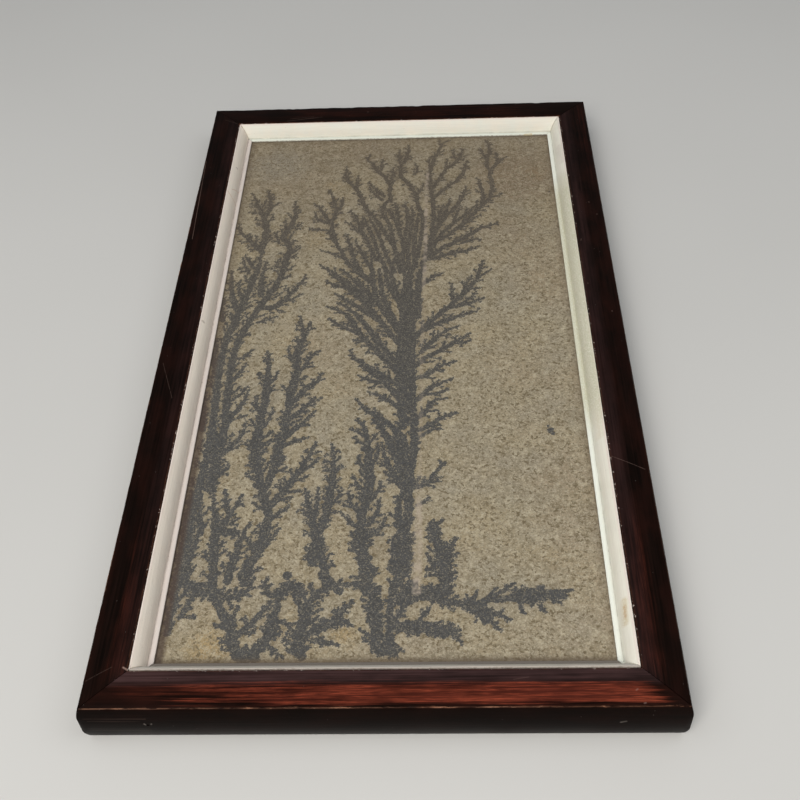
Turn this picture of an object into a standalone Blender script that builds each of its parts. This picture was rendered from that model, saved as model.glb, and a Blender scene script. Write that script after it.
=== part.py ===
"""Framed dendrite stone slab, lying on its back with the picture side up.

A thin stone slab shows through a frame of four mitred hardwood rails. A cream painted inner
moulding, called a slip, slopes from the rails down to the stone and holds the slab from above.
A thin board and small nails hold it from behind.

Units are metres. X runs across the frame, +Y towards its upper end, +Z out of the picture.
The origin is on the resting surface, under the middle of the frame.
"""

import math
import random

import bmesh
import bpy
from mathutils import Vector

# Driving dimensions of the frame
FRAME_WIDTH = 0.240  # between the upper outer edges of the side rails
FRAME_LENGTH = 0.432  # between the upper outer edges of the end rails
FRAME_HEIGHT = 0.023  # from the resting face to the crown of the rails
RAIL_WIDTH = 0.0172
RAIL_CROWN = 0.0003  # how far the middle of a rail's top stands over its edges
SIDE_LEAN = math.radians(18)  # the outer side leans out by this below and in by it above
FOOT_RADIUS = 0.0022  # rounding between the outer side and the resting face
ARRIS_RADIUS = 0.0005  # rounding of the upper outer edge
SIGHT_RADIUS = 0.0008  # rounding of the upper inner edge, beside the slip
CORNER_RADIUS = 0.0027  # sanding of the frame's four upright corners
CORNER_MARGIN = 0.0002  # how far that sanding's sides stay clear of the rails' sides

# Driving dimensions of the slip
SLIP_WIDTH = 0.0077
SLIP_LIP = 0.0008  # flat top beside the rail
SLIP_SWELL = 0.0008  # how far the sloping face bows out
STONE_DROP = 0.0091  # from the rail's upper edges down to the stone
BEAD_WIDTH = 0.0013
BEAD_HEIGHT = 0.0015  # over the stone
GROOVE_DEPTH = 0.0004  # of the line between the sloping face and the bead

# Driving dimensions of what is behind the slip
SLAB_THICKNESS = 0.0070
SLAB_CLEARANCE = 0.0010  # between the slab's edges and the rails
SLAB_CHIPPING = 0.0009  # most that the slab's rough edge steps back
SLAB_BEVEL = 0.0004
BOARD_THICKNESS = 0.0030
BRAD_RADIUS = 0.0006
BRAD_HEAD_RADIUS = 0.0009
BRAD_HEAD_THICKNESS = 0.0005
BRAD_LENGTH = 0.0140
BRAD_DEPTH = 0.0070  # length of a brad that is driven into a rail

# Empty nail hole in the outer side of the bottom rail
NAIL_HOLE_RADIUS = 0.0006
NAIL_HOLE_DEPTH = 0.0050
NAIL_HOLE_FROM_LEFT = 0.0268
NAIL_HOLE_HEIGHT = 0.0127

GAP = 0.0003  # between pieces that touch
CURVE_STEPS = 8

ARRIS_HEIGHT = FRAME_HEIGHT - RAIL_CROWN
STONE_HEIGHT = ARRIS_HEIGHT - STONE_DROP
SLAB_BOTTOM = STONE_HEIGHT - SLAB_THICKNESS
BOARD_BOTTOM = SLAB_BOTTOM - GAP - BOARD_THICKNESS
BRAD_HEIGHT = BOARD_BOTTOM - GAP - BRAD_HEAD_RADIUS
SLAB_SIZE = (
    FRAME_WIDTH - 2 * (RAIL_WIDTH + SLAB_CLEARANCE),
    FRAME_LENGTH - 2 * (RAIL_WIDTH + SLAB_CLEARANCE),
)

# Each side of the frame: its turn about Z from the bottom side, half of its run along the frame,
# half of the frame across it, and where its brads are along it.
SIDES = {
    "bottom": (0.0, FRAME_WIDTH / 2, FRAME_LENGTH / 2, (-0.055, 0.055)),
    "top": (math.pi, FRAME_WIDTH / 2, FRAME_LENGTH / 2, (-0.055, 0.055)),
    "left": (-math.pi / 2, FRAME_LENGTH / 2, FRAME_WIDTH / 2, (-0.140, 0.0, 0.140)),
    "right": (math.pi / 2, FRAME_LENGTH / 2, FRAME_WIDTH / 2, (-0.140, 0.0, 0.140)),
}


def clear_scene():
    for obj in list(bpy.data.objects):
        bpy.data.objects.remove(obj, do_unlink=True)


def make_material(name, colour, roughness, metallic=0.0):
    material = bpy.data.materials.new(name)
    material.use_nodes = True
    shader = material.node_tree.nodes["Principled BSDF"]
    shader.inputs["Base Color"].default_value = (*colour, 1.0)
    shader.inputs["Roughness"].default_value = roughness
    shader.inputs["Metallic"].default_value = metallic
    material.diffuse_color = (*colour, 1.0)
    return material


def add_object(name, bm, material=None, smooth_under=None):
    """An object from a bmesh, with faces that meet under the angle smooth_under shaded smooth."""
    bmesh.ops.recalc_face_normals(bm, faces=bm.faces)
    mesh = bpy.data.meshes.new(name)
    bm.to_mesh(mesh)
    bm.free()
    if smooth_under is not None:
        mesh.shade_smooth()
        mesh.set_sharp_from_angle(angle=smooth_under)
    if material:
        mesh.materials.append(material)
    obj = bpy.data.objects.new(name, mesh)
    bpy.context.scene.collection.objects.link(obj)
    return obj


def arc(centre, radius, start, end, steps):
    """Points on an arc between two angles in degrees, both ends included."""
    points = []
    for i in range(steps + 1):
        angle = math.radians(start + (end - start) * i / steps)
        points.append(
            (centre[0] + radius * math.cos(angle), centre[1] + radius * math.sin(angle))
        )
    return points


def bowed(start, end, swell, steps):
    """Points from start to end along a shallow curve that bows to the left of that line by swell."""
    run = Vector(end) - Vector(start)
    left = Vector((-run.y, run.x)).normalized()
    points = []
    for i in range(steps + 1):
        t = i / steps
        point = Vector(start) + run * t + left * swell * 4 * t * (1 - t)
        points.append((point.x, point.y))
    return points


def side_curve():
    """The rail's convex outer side as (centre, radius, bulge), from its chord and its lean."""
    tuck = 1 - math.sin(SIDE_LEAN)
    low = FOOT_RADIUS * tuck
    high = ARRIS_HEIGHT - ARRIS_RADIUS * tuck
    radius = (high - low) / 2 / math.sin(SIDE_LEAN)
    centre = (radius * math.cos(SIDE_LEAN), (high + low) / 2)
    return centre, radius, radius * (1 - math.cos(SIDE_LEAN))


def rail_section():
    """The rail's outline as (distance in from the outer edge, height), clockwise from its foot."""
    lean = math.degrees(SIDE_LEAN)
    inset = math.cos(SIDE_LEAN)
    side_centre, side_radius, _ = side_curve()
    points = arc((FOOT_RADIUS * inset, FOOT_RADIUS), FOOT_RADIUS, 270, 180 + lean, 5)
    points += arc(side_centre, side_radius, 180 + lean, 180 - lean, CURVE_STEPS)[1:]
    arris_centre = (ARRIS_RADIUS * inset, ARRIS_HEIGHT - ARRIS_RADIUS)
    points += arc(arris_centre, ARRIS_RADIUS, 180 - lean, 90, 3)[1:]
    sight_centre = (RAIL_WIDTH - SIGHT_RADIUS, ARRIS_HEIGHT - SIGHT_RADIUS)
    top_end = (sight_centre[0], ARRIS_HEIGHT)
    points += bowed(points[-1], top_end, RAIL_CROWN, CURVE_STEPS)[1:]
    points += arc(sight_centre, SIGHT_RADIUS, 90, 0, 3)[1:]
    points.append((RAIL_WIDTH, 0.0))
    return points


def slip_section():
    """The slip's outline in the same terms: flat lip, bowed slope, groove, bead and flat foot."""
    outer = RAIL_WIDTH + GAP
    inner = RAIL_WIDTH + SLIP_WIDTH
    foot = STONE_HEIGHT + GAP
    bead_top = STONE_HEIGHT + BEAD_HEIGHT
    bead_outer = inner - BEAD_WIDTH
    slope_foot = (bead_outer, bead_top + GROOVE_DEPTH / 2)
    points = [(outer, foot), (outer, ARRIS_HEIGHT)]
    lip_end = (RAIL_WIDTH + SLIP_LIP, ARRIS_HEIGHT)
    points += bowed(lip_end, slope_foot, SLIP_SWELL, CURVE_STEPS)
    points.append((bead_outer + GROOVE_DEPTH / 2, bead_top - GROOVE_DEPTH))
    crown = bowed((bead_outer + GROOVE_DEPTH, bead_top - GROOVE_DEPTH), (inner, bead_top - GROOVE_DEPTH),
                  GROOVE_DEPTH, 4)
    points += crown
    points.append((inner, foot))
    return points


def mitred_strip(name, section, side, material):
    """A strip with the given section along one side of the frame, cut at 45 degrees at both ends."""
    turn, half_run, half_across, _ = SIDES[side]
    mitre_cut = GAP / 2 * math.sqrt(2)
    bm = bmesh.new()
    ends = []
    for sense in (-1, 1):
        ends.append([
            bm.verts.new((sense * (half_run - inward - mitre_cut), inward - half_across, height))
            for inward, height in section
        ])
    bm.faces.new(ends[0])
    bm.faces.new(reversed(ends[1]))
    for i in range(len(section)):
        j = (i + 1) % len(section)
        bm.faces.new((ends[0][i], ends[0][j], ends[1][j], ends[1][i]))
    strip = add_object(name, bm, material, smooth_under=math.radians(30))
    strip.rotation_euler.z = turn
    return strip


def boolean(obj, cutter, operation):
    """Cuts obj with a helper object, which is hidden from renders."""
    cutter.hide_render = True
    cutter.display_type = "WIRE"
    modifier = obj.modifiers.new(f"{operation.title()} {cutter.name}", "BOOLEAN")
    modifier.operation = operation
    modifier.solver = "EXACT"
    modifier.object = cutter


def corner_sander():
    """Upright prism with rounded corners, which trims the bulging sides where two rails meet."""
    bulge = side_curve()[2]
    half_x = FRAME_WIDTH / 2 + bulge + CORNER_MARGIN
    half_y = FRAME_LENGTH / 2 + bulge + CORNER_MARGIN
    outline = []
    for start, sx, sy in ((0, 1, 1), (90, -1, 1), (180, -1, -1), (270, 1, -1)):
        centre = (sx * (half_x - CORNER_RADIUS), sy * (half_y - CORNER_RADIUS))
        outline += arc(centre, CORNER_RADIUS, start, start + 90, 4)
    bm = bmesh.new()
    base = bm.faces.new([bm.verts.new((x, y, -FRAME_HEIGHT)) for x, y in outline])
    lifted = bmesh.ops.extrude_face_region(bm, geom=[base])
    tops = [item for item in lifted["geom"] if isinstance(item, bmesh.types.BMVert)]
    bmesh.ops.translate(bm, verts=tops, vec=(0, 0, 3 * FRAME_HEIGHT))
    return add_object("corner_sander", bm)


def turned_pin(name, outline, place, turn, material=None):
    """A round pin about local Y from (position along Y, radius) pairs, closed at both ends."""
    sides = 10
    bm = bmesh.new()
    rings = []
    for along, radius in outline:
        ring = []
        for i in range(sides):
            angle = 2 * math.pi * i / sides
            ring.append(bm.verts.new((radius * math.cos(angle), along, radius * math.sin(angle))))
        rings.append(ring)
    bm.faces.new(rings[0])
    bm.faces.new(reversed(rings[-1]))
    for ring, following in zip(rings, rings[1:]):
        for i in range(sides):
            j = (i + 1) % sides
            bm.faces.new((ring[i], ring[j], following[j], following[i]))
    pin = add_object(name, bm, material, smooth_under=math.radians(40))
    pin.location = place
    pin.rotation_euler.z = turn
    return pin


def make_brads(side, rail, material):
    """Small nails through the rail's inner wall under the board, and the holes that they sit in."""
    turn, _, half_across, places = SIDES[side]
    wall = RAIL_WIDTH - half_across
    shank_start = BRAD_LENGTH - BRAD_DEPTH
    brad_outline = (
        (shank_start, BRAD_HEAD_RADIUS),
        (shank_start - BRAD_HEAD_THICKNESS, BRAD_HEAD_RADIUS),
        (shank_start - 2 * BRAD_HEAD_THICKNESS, BRAD_RADIUS),
        (2 * BRAD_RADIUS - BRAD_DEPTH, BRAD_RADIUS),
        (-BRAD_DEPTH, BRAD_RADIUS / 4),
    )
    hole_radius = BRAD_RADIUS + GAP
    hole_outline = ((shank_start, hole_radius), (-BRAD_DEPTH - GAP, hole_radius))
    cos_turn = math.cos(turn)
    sin_turn = math.sin(turn)
    for number, along in enumerate(places, start=1):
        place = (
            along * cos_turn - wall * sin_turn,
            along * sin_turn + wall * cos_turn,
            BRAD_HEIGHT,
        )
        turned_pin(f"brad_{side}_{number}", brad_outline, place, turn, material)
        hole = turned_pin(f"brad_hole_{side}_{number}", hole_outline, place, turn)
        boolean(rail, hole, "DIFFERENCE")


def make_nail_hole(rail):
    place = (NAIL_HOLE_FROM_LEFT - FRAME_WIDTH / 2, -FRAME_LENGTH / 2, NAIL_HOLE_HEIGHT)
    outline = ((NAIL_HOLE_DEPTH, NAIL_HOLE_RADIUS), (-NAIL_HOLE_DEPTH, NAIL_HOLE_RADIUS))
    boolean(rail, turned_pin("nail_hole", outline, place, 0.0), "DIFFERENCE")


def make_slab(material):
    """The stone slab: flat faces and a broken edge that the slip covers."""
    chips = random.Random(7)
    half_x, half_y = SLAB_SIZE[0] / 2, SLAB_SIZE[1] / 2
    steps_x, steps_y = 8, 16
    outline = []
    for i in range(steps_x):
        outline.append((-half_x + 2 * half_x * i / steps_x, -half_y + chips.uniform(0, SLAB_CHIPPING)))
    for i in range(steps_y):
        outline.append((half_x - chips.uniform(0, SLAB_CHIPPING), -half_y + 2 * half_y * i / steps_y))
    for i in range(steps_x):
        outline.append((half_x - 2 * half_x * i / steps_x, half_y - chips.uniform(0, SLAB_CHIPPING)))
    for i in range(steps_y):
        outline.append((-half_x + chips.uniform(0, SLAB_CHIPPING), half_y - 2 * half_y * i / steps_y))
    bm = bmesh.new()
    base = bm.faces.new([bm.verts.new((x, y, SLAB_BOTTOM)) for x, y in outline])
    lifted = bmesh.ops.extrude_face_region(bm, geom=[base])
    tops = [item for item in lifted["geom"] if isinstance(item, bmesh.types.BMVert)]
    bmesh.ops.translate(bm, verts=tops, vec=(0, 0, SLAB_THICKNESS))
    slab = add_object("stone_slab", bm, material)
    bevel = slab.modifiers.new("Bevel", "BEVEL")
    bevel.width = SLAB_BEVEL
    bevel.segments = 1
    bevel.limit_method = "ANGLE"
    bevel.angle_limit = math.radians(60)


def make_board(material):
    bm = bmesh.new()
    bmesh.ops.create_cube(bm, size=1.0)
    bmesh.ops.scale(bm, verts=bm.verts, vec=(*SLAB_SIZE, BOARD_THICKNESS))
    bmesh.ops.bevel(bm, geom=list(bm.edges), offset=GAP, segments=1, affect="EDGES")
    board = add_object("backing_board", bm, material)
    board.location.z = BOARD_BOTTOM + BOARD_THICKNESS / 2


def main():
    clear_scene()
    lacquer = make_material("dark lacquered wood", (0.040, 0.012, 0.008), 0.25)
    cream = make_material("cream paint", (0.72, 0.66, 0.54), 0.5)
    stone = make_material("grey-beige stone", (0.34, 0.30, 0.22), 0.85)
    hardboard = make_material("brown hardboard", (0.25, 0.15, 0.08), 0.8)
    steel = make_material("dull steel", (0.45, 0.43, 0.40), 0.4, metallic=1.0)
    sander = corner_sander()
    for side in SIDES:
        rail = mitred_strip(f"frame_rail_{side}", rail_section(), side, lacquer)
        boolean(rail, sander, "INTERSECT")
        make_brads(side, rail, steel)
        if side == "bottom":
            make_nail_hole(rail)
        mitred_strip(f"slip_{side}", slip_section(), side, cream)
    make_slab(stone)
    make_board(hardboard)


main()
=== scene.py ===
"""Looks of the framed dendrite stone slab.

The rails, the cream slip and the slab are finer meshes in the places of their plain solids, with
worn edges, paint and a sandy stone face. The dark mineral ferns on the slab are only colour: they
grow here from given stems, and the stone's mesh carries their outline as a distance.

Lengths are in metres. The tables of marks, stains and patches and the growth of the ferns are in
millimetres.
"""

import math
import random

import bmesh
import bpy
import numpy as np
from mathutils import Matrix, Vector, noise


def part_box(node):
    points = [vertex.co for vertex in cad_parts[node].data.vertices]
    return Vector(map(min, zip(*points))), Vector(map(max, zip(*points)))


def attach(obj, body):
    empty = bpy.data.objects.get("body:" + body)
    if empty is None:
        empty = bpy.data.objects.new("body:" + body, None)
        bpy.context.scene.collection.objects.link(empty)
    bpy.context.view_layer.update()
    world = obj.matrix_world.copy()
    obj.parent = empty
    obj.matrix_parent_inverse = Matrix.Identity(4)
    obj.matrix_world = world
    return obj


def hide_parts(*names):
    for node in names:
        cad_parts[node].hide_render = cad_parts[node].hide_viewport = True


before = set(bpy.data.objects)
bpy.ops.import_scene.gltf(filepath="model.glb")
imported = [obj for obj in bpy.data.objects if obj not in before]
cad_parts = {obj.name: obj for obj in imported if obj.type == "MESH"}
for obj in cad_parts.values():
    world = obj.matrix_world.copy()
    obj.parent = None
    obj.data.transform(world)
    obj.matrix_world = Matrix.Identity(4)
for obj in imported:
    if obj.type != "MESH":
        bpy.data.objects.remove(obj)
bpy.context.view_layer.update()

MM = 0.001


def metres(*lengths):
    """Lengths given in millimetres, in metres."""
    return tuple(length * MM for length in lengths)


def tone(red, green, blue):
    return (red, green, blue, 1.0)


# Shape of the moulding that the frame's boxes don't give, as in the part's source
SIDE_LEAN = math.radians(18)
FOOT_RADIUS = 2.2 * MM
ARRIS_RADIUS = 0.5 * MM
SIGHT_RADIUS = 0.8 * MM
CORNER_RADIUS = 2.7 * MM
CORNER_MARGIN = 0.2 * MM
SLIP_LIP = 0.8 * MM
SLIP_SWELL = 0.8 * MM
BEAD_HEIGHT = 1.5 * MM
GAP = 0.3 * MM
NAIL_HOLE_RADIUS = 0.6 * MM
NAIL_HOLE_DEPTH = 5.0 * MM
NAIL_HOLE_ALONG = -93.2 * MM  # from the middle of the bottom rail
NAIL_HOLE_HEIGHT = 12.7 * MM

# The painted bead is wider and its groove shallower than in the part's source
BEAD_WIDTH = 2.5 * MM
GROOVE_DEPTH = 0.3 * MM

# Heights and places from the frame
FRAME_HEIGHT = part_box("frame_rail_bottom")[1].z
ARRIS_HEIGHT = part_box("slip_bottom")[1].z
STONE_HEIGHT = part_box("stone_slab")[1].z
SIDE_TUCK = 1 - math.sin(SIDE_LEAN)
SIDE_LOW = FOOT_RADIUS * SIDE_TUCK
SIDE_HIGH = ARRIS_HEIGHT - ARRIS_RADIUS * SIDE_TUCK
SIDE_RADIUS = (SIDE_HIGH - SIDE_LOW) / 2 / math.sin(SIDE_LEAN)
SIDE_BULGE = SIDE_RADIUS * (1 - math.cos(SIDE_LEAN))
HALF_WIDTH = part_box("frame_rail_right")[1].x - SIDE_BULGE
HALF_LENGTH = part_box("frame_rail_top")[1].y - SIDE_BULGE
RAIL_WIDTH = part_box("frame_rail_bottom")[1].y + HALF_LENGTH
SLIP_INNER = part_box("slip_bottom")[1].y + HALF_LENGTH
WINDOW_X = HALF_WIDTH - SLIP_INNER
WINDOW_Y = HALF_LENGTH - SLIP_INNER
MITRE_CUT = GAP / 2 * math.sqrt(2)

# Each side: its turn about Z from the bottom side, half of its run and half of the frame across it
SIDES = {
    "bottom": (0.0, HALF_WIDTH, HALF_LENGTH),
    "top": (math.pi, HALF_WIDTH, HALF_LENGTH),
    "left": (-math.pi / 2, HALF_LENGTH, HALF_WIDTH),
    "right": (math.pi / 2, HALF_LENGTH, HALF_WIDTH),
}

# Camera, from a perspective fit to the frame's edges
PHOTO_SIDE = 800
FOCAL_LENGTH = 1125.6  # in pixels of the photograph
SENSOR = 36.0
CAMERA_PLACE = (0.0260, -0.4318, 0.4210)
CAMERA_RIGHT = (0.99914, 0.01521, -0.0386)
CAMERA_UP = (0.0157, 0.72262, 0.69107)

# Meshes of the moulding
RAIL_SPACING = 1.3 * MM  # between the rings of points along a rail
RAIL_WAVES = 0.10 * MM
RAIL_WAVE_SIZE = 24 * MM
RAIL_SHARP_OVER = math.radians(40)
ARRIS_WEAR = 0.30 * MM
ARRIS_WEAR_SIZE = 5 * MM
ARRIS_WEAR_REACH = 0.9 * MM
CHIPS_PER_METRE = 45
CHIP_LENGTHS = (1.2, 5.0)  # in millimetres, as are the depths before they are raised to the power
CHIP_DEPTHS = (0.1, 0.4)
CHIP_DEPTH_POWER = 1.5
SLIP_SPACING = 1.3 * MM
SLIP_SHARP_OVER = math.radians(32)
PAINT_LUMPS = 0.10 * MM
PAINT_LUMP_SIZE = 7 * MM
PAINT_RIDGES = 0.05 * MM
PAINT_RIDGE_SIZE = 0.9 * MM
NOISE_SEEDS = (0, 50)

# Mesh of the slab
SLAB_INSET = 0.5 * MM
FINE_STEP = 0.86 * MM
COARSE_STEP = 1.9 * MM
FERN_EDGE_X = 60 * MM  # to the right of this there are only thin tips and a few spots
STONE_SWELL = 0.25 * MM
STONE_SWELL_SIZE = 45 * MM
STONE_GRIT = 0.05 * MM
STONE_GRIT_SIZE = 1.3 * MM
STONE_SHARP_OVER = math.radians(50)
HIDDEN_RIM = 2 * MM  # beyond the window, under the slips, from where the slab is flat
THICKET_REACH = 4  # rows and columns over which the share of fern is averaged

# Course of the pale vein in the slab, from its upper end down, in millimetres
VEIN_COURSE = ((18.5, 160), (17.6, 118), (17.0, 74), (15.5, 20), (15.0, -40), (14.0, -118), (13.2, -156))

# Lacquered rails
LACQUER_BLACK = tone(0.0036, 0.0022, 0.0017)
LACQUER_BROWN = tone(0.0100, 0.0048, 0.0037)
LACQUER_RED = tone(0.021, 0.0065, 0.0045)
# Painted sheen: a dull violet reflection in the lacquer, painted into the rails' colour
LACQUER_PAINTED_SHEEN = tone(0.068, 0.037, 0.037)  # dull violet on the near rail
LACQUER_SHINE = tone(1.0, 0.72, 0.58)
# Painted light: colours of a reddish glow of light on the lacquered tops
PAINTED_GLOW_DARK = tone(0.075, 0.016, 0.010)
PAINTED_GLOW_BRIGHT = tone(0.31, 0.062, 0.031)
PAINTED_GLOW_BLUR = 1.6 * MM
BARE_WOOD = tone(0.36, 0.19, 0.12)
BARE_WOOD_DARK = tone(0.16, 0.065, 0.035)
BARE_SCRATCH = tone(0.26, 0.17, 0.14)
DUST = tone(0.30, 0.26, 0.23)
# In millimetres, with places as (along, inward) on a rail's top and (along, height) on its front.
# embers: a reddish glow of light painted on the lacquer, strongest on the near rail, as (low corner, high
# corner, fades at both ends, strength)
# scratches: (start, end, width, strength), and front_marks the same with a colour
# worn_spans: (from, to, strength)
RAIL_LOOKS = {
    "bottom": {
        "shift": (0.0, 0.0, 0.0),
        "painted_sheen": 0.8,
        "redness": 0.75,
        "slant": 0.5,
        "painted_glows": (
            ((-82, 2.0), (113, 10.4), (56, 9), 1.0),
            ((-106, 5.0), (-40, 10.0), (8, 30), 0.15),
        ),
        "scratches": (
            ((99.4, 7.0), (100.0, 7.4), 0.9, 0.8),
            ((101.8, 1.4), (102.4, 1.6), 0.9, 0.8),
            ((52, 12), (58, 13), 0.35, 0.4),
        ),
        "front_marks": (
            ((-118.5, 17.2), (-93.6, 17.0), 0.7, 0.22, BARE_SCRATCH),
            ((-117, 15.6), (-96, 15.2), 0.5, 0.15, BARE_SCRATCH),
            ((-116, 9.5), (-95, 8.0), 6.5, 0.07, DUST),
            ((93.4, 13.4), (95.4, 14.0), 1.2, 0.6, DUST),
            ((-94.6, 13.6), (-94.2, 13.0), 0.9, 0.7, DUST),
            ((-92.0, 13.2), (-91.7, 13.6), 0.8, 0.6, DUST),
        ),
        "worn_over": 0.60,
        "worn_spans": ((-117, -66, 0.45), (-109, -103, 1.0), (-18, -13, 0.9),
                       (21, 27, 0.9), (42, 50, 0.8), (-60, 110, 0.25)),
        "rim": 0.35,
    },
    "top": {
        "shift": (0.31, 0.07, 0.02),
        "painted_sheen": 0.0,
        "redness": 0.45,
        "slant": 0.0,
        "painted_glows": (((-85, 3), (80, 13), (20, 20), 0.06),),
        "scratches": (
            ((72, 15.1), (49.7, 11.4), 0.45, 0.6),
            ((70, 12.6), (55.0, 10.8), 0.35, 0.4),
            ((19.7, 6.9), (20.3, 7.0), 1.0, 0.6),
        ),
        "front_marks": (((30, 12), (52, 12.6), 0.5, 0.3, BARE_SCRATCH),),
        "worn_over": 0.66,
        "worn_spans": ((-60, -40, 0.3),),
        "rim": 0.9,
    },
    "left": {
        "shift": (0.83, 0.15, 0.05),
        "painted_sheen": 0.12,
        "redness": 0.55,
        "slant": 0.0,
        "painted_glows": (((120, 9), (206, 15), (60, 12), 0.10),),
        "scratches": (
            ((-157.9, 0.9), (-80, 3.4), 0.5, 0.8),
            ((21.8, 3.0), (46.8, 11.5), 0.4, 0.35),
            ((203.6, 0.9), (197.4, 10.6), 0.35, 0.35),
            ((-203.9, 7.0), (-199.5, 15.5), 0.4, 0.4),
            ((197.5, 15.2), (198.8, 17.4), 1.1, 2.0),
        ),
        "front_marks": (((100, 14), (128, 14.8), 0.5, 0.3, BARE_SCRATCH),),
        "worn_over": 0.63,
        "worn_spans": ((-92, -88, 0.9), (-61, -50, 0.7), (140, 160, 0.5),
                       (-205, 205, 0.15)),
        "rim": 0.3,
    },
    "right": {
        "shift": (1.27, 0.21, 0.11),
        "painted_sheen": 0.25,
        "redness": 0.60,
        "slant": 0.0,
        "painted_glows": (
            ((-206, 9.0), (-115, 15), (12, 50), 0.13),
            ((130, 1.5), (212, 5), (50, 10), 0.07),
        ),
        "scratches": (
            ((-88.7, 16.3), (-96.8, 2.2), 0.45, 0.6),
            ((106.6, 7.3), (107.0, 7.4), 0.9, 0.6),
            ((95.0, 3.9), (95.4, 4.0), 0.9, 0.6),
            ((34.3, 15.1), (34.8, 15.1), 0.9, 0.6),
            ((11.4, 4.8), (11.8, 4.8), 0.9, 0.6),
            ((71.4, 15.3), (73.0, 15.0), 0.6, 0.6),
        ),
        "front_marks": (((-60, 11), (-40, 10.6), 0.5, 0.3, BARE_SCRATCH),),
        "worn_over": 0.65,
        "worn_spans": ((-205, 205, 0.10),),
        "rim": 0.2,
    },
}

# Painted slips
CREAM_WARM = tone(0.84, 0.78, 0.67)
CREAM_COOL = tone(0.80, 0.79, 0.70)
CREAM_GREY = tone(0.66, 0.61, 0.54)
CREAM_PINK = tone(0.60, 0.51, 0.46)
CREAM_OLIVE = tone(0.62, 0.60, 0.44)
LIP_PINK = tone(0.78, 0.66, 0.60)
BEAD_CREAM = tone(0.76, 0.80, 0.71)
GRIME = tone(0.20, 0.14, 0.10)
PIT = tone(0.16, 0.12, 0.09)
STAIN_YELLOW = tone(0.60, 0.46, 0.22)
STAIN_RUST = tone(0.50, 0.24, 0.09)
BEAD_WHITE = tone(0.84, 0.87, 0.79)
BEAD_PINK = tone(0.67, 0.60, 0.56)
# Painted shade: the near slip's bead darkened, standing for the shadow along its seam with the stone
BEAD_PAINTED_SHADE = tone(0.14, 0.12, 0.10)
# Each side's look. Its wash makes the paint of the left and right slips lighter, as painted light, and that
# of the near (bottom) slip darker, as painted shade; the near slip's darker lip, pink slope and dark bead
# are painted shade too
SLIP_LOOKS = {
    "bottom": {
        "shift": (0.0, 0.5, 0.0),
        "painted_lighting": tone(0.56, 0.51, 0.45),
        "painted_lighting_strength": 0.6,
        "lip": tone(0.52, 0.45, 0.40),
        "slope": 0.6,
        "bead": BEAD_PAINTED_SHADE,
        "tinge": 0.2,
    },
    "top": {
        "shift": (0.4, 0.6, 0.0),
        "painted_lighting": CREAM_WARM,
        "painted_lighting_strength": 0.0,
        "lip": LIP_PINK,
        "slope": 0.0,
        "bead": BEAD_CREAM,
        "tinge": 0.1,
    },
    "left": {
        "shift": (0.9, 0.7, 0.0),
        "painted_lighting": tone(0.92, 0.805, 0.695),
        "painted_lighting_strength": 0.7,
        "lip": LIP_PINK,
        "slope": 0.12,
        "bead": BEAD_PINK,
        "tinge": 0.05,
    },
    "right": {
        "shift": (1.5, 0.8, 0.0),
        "painted_lighting": tone(0.94, 0.91, 0.80),
        "painted_lighting_strength": 0.8,
        "lip": LIP_PINK,
        "slope": 0.0,
        "bead": BEAD_WHITE,
        "tinge": 0.15,
    },
}
# In millimetres: (start, end, width, colour, strength), with places as (along, inward)
SLIP_STAINS = {
    "bottom": (((-104, 17.6), (-99, 18.6), 0.9, CREAM_PINK, 0.8),),
    "top": (
        ((-85, 24.6), (-81, 25.0), 2.2, STAIN_YELLOW, 0.7),
        ((-101.2, 21.5), (-100.4, 23.2), 0.8, PIT, 0.8),
    ),
    "left": (
        ((196.0, 17.5), (198.4, 18.3), 0.7, GRIME, 0.6),
        ((-153.6, 20.1), (-153.2, 20.5), 1.2, PIT, 0.8),
        ((-10.9, 18.9), (-10.5, 19.2), 2.0, GRIME, 0.6),
        ((-130.8, 20.0), (-137.8, 24.5), 0.5, STAIN_RUST, 0.5),
        ((-126.6, 18.0), (-122.0, 22.4), 0.8, STAIN_RUST, 0.5),
    ),
    "right": (
        ((-169, 20.0), (-174, 20.3), 1.7, STAIN_RUST, 0.7),
        ((-166, 19.9), (-177, 20.4), 3.4, STAIN_YELLOW, 0.5),
        ((-52, 19.0), (-74, 19.8), 5.0, STAIN_YELLOW, 0.25),
        # Partly the paint's olive tinge and partly painted shade, darkening the middle of the right slip
        # where less light falls
        ((-40, 20.0), (115, 20.0), 60, CREAM_OLIVE, 0.95),
        ((150, 19.0), (168, 19.8), 4.0, CREAM_PINK, 0.35),
    ),
}

# Stone
STONE_GREY = tone(0.324, 0.282, 0.207)
STONE_BEIGE = tone(0.367, 0.301, 0.193)
STONE_WARM = tone(0.329, 0.249, 0.160)
STONE_PALE = tone(0.520, 0.450, 0.320)
STONE_RUSSET = tone(0.220, 0.145, 0.088)
OCHRE = tone(0.376, 0.254, 0.103)
COOL_GREY = tone(0.310, 0.291, 0.244)
GRAIN_DARK = tone(0.200, 0.170, 0.110)
GRAIN_PALE = tone(0.560, 0.500, 0.390)
GRAIN_OLIVE = tone(0.155, 0.120, 0.070)
HALO = tone(0.150, 0.122, 0.088)
FERN_BLUE = tone(0.070, 0.071, 0.073)
FERN_BROWN = tone(0.096, 0.081, 0.064)
FERN_DARK = tone(0.045, 0.044, 0.042)
VEIN = tone(0.470, 0.390, 0.310)
EDGE_SHADE = tone(0.145, 0.105, 0.068)
# Painted shadow of the left slip and rail on the slab
LEFT_PAINTED_SHADOW = tone(0.070, 0.045, 0.035)
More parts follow.
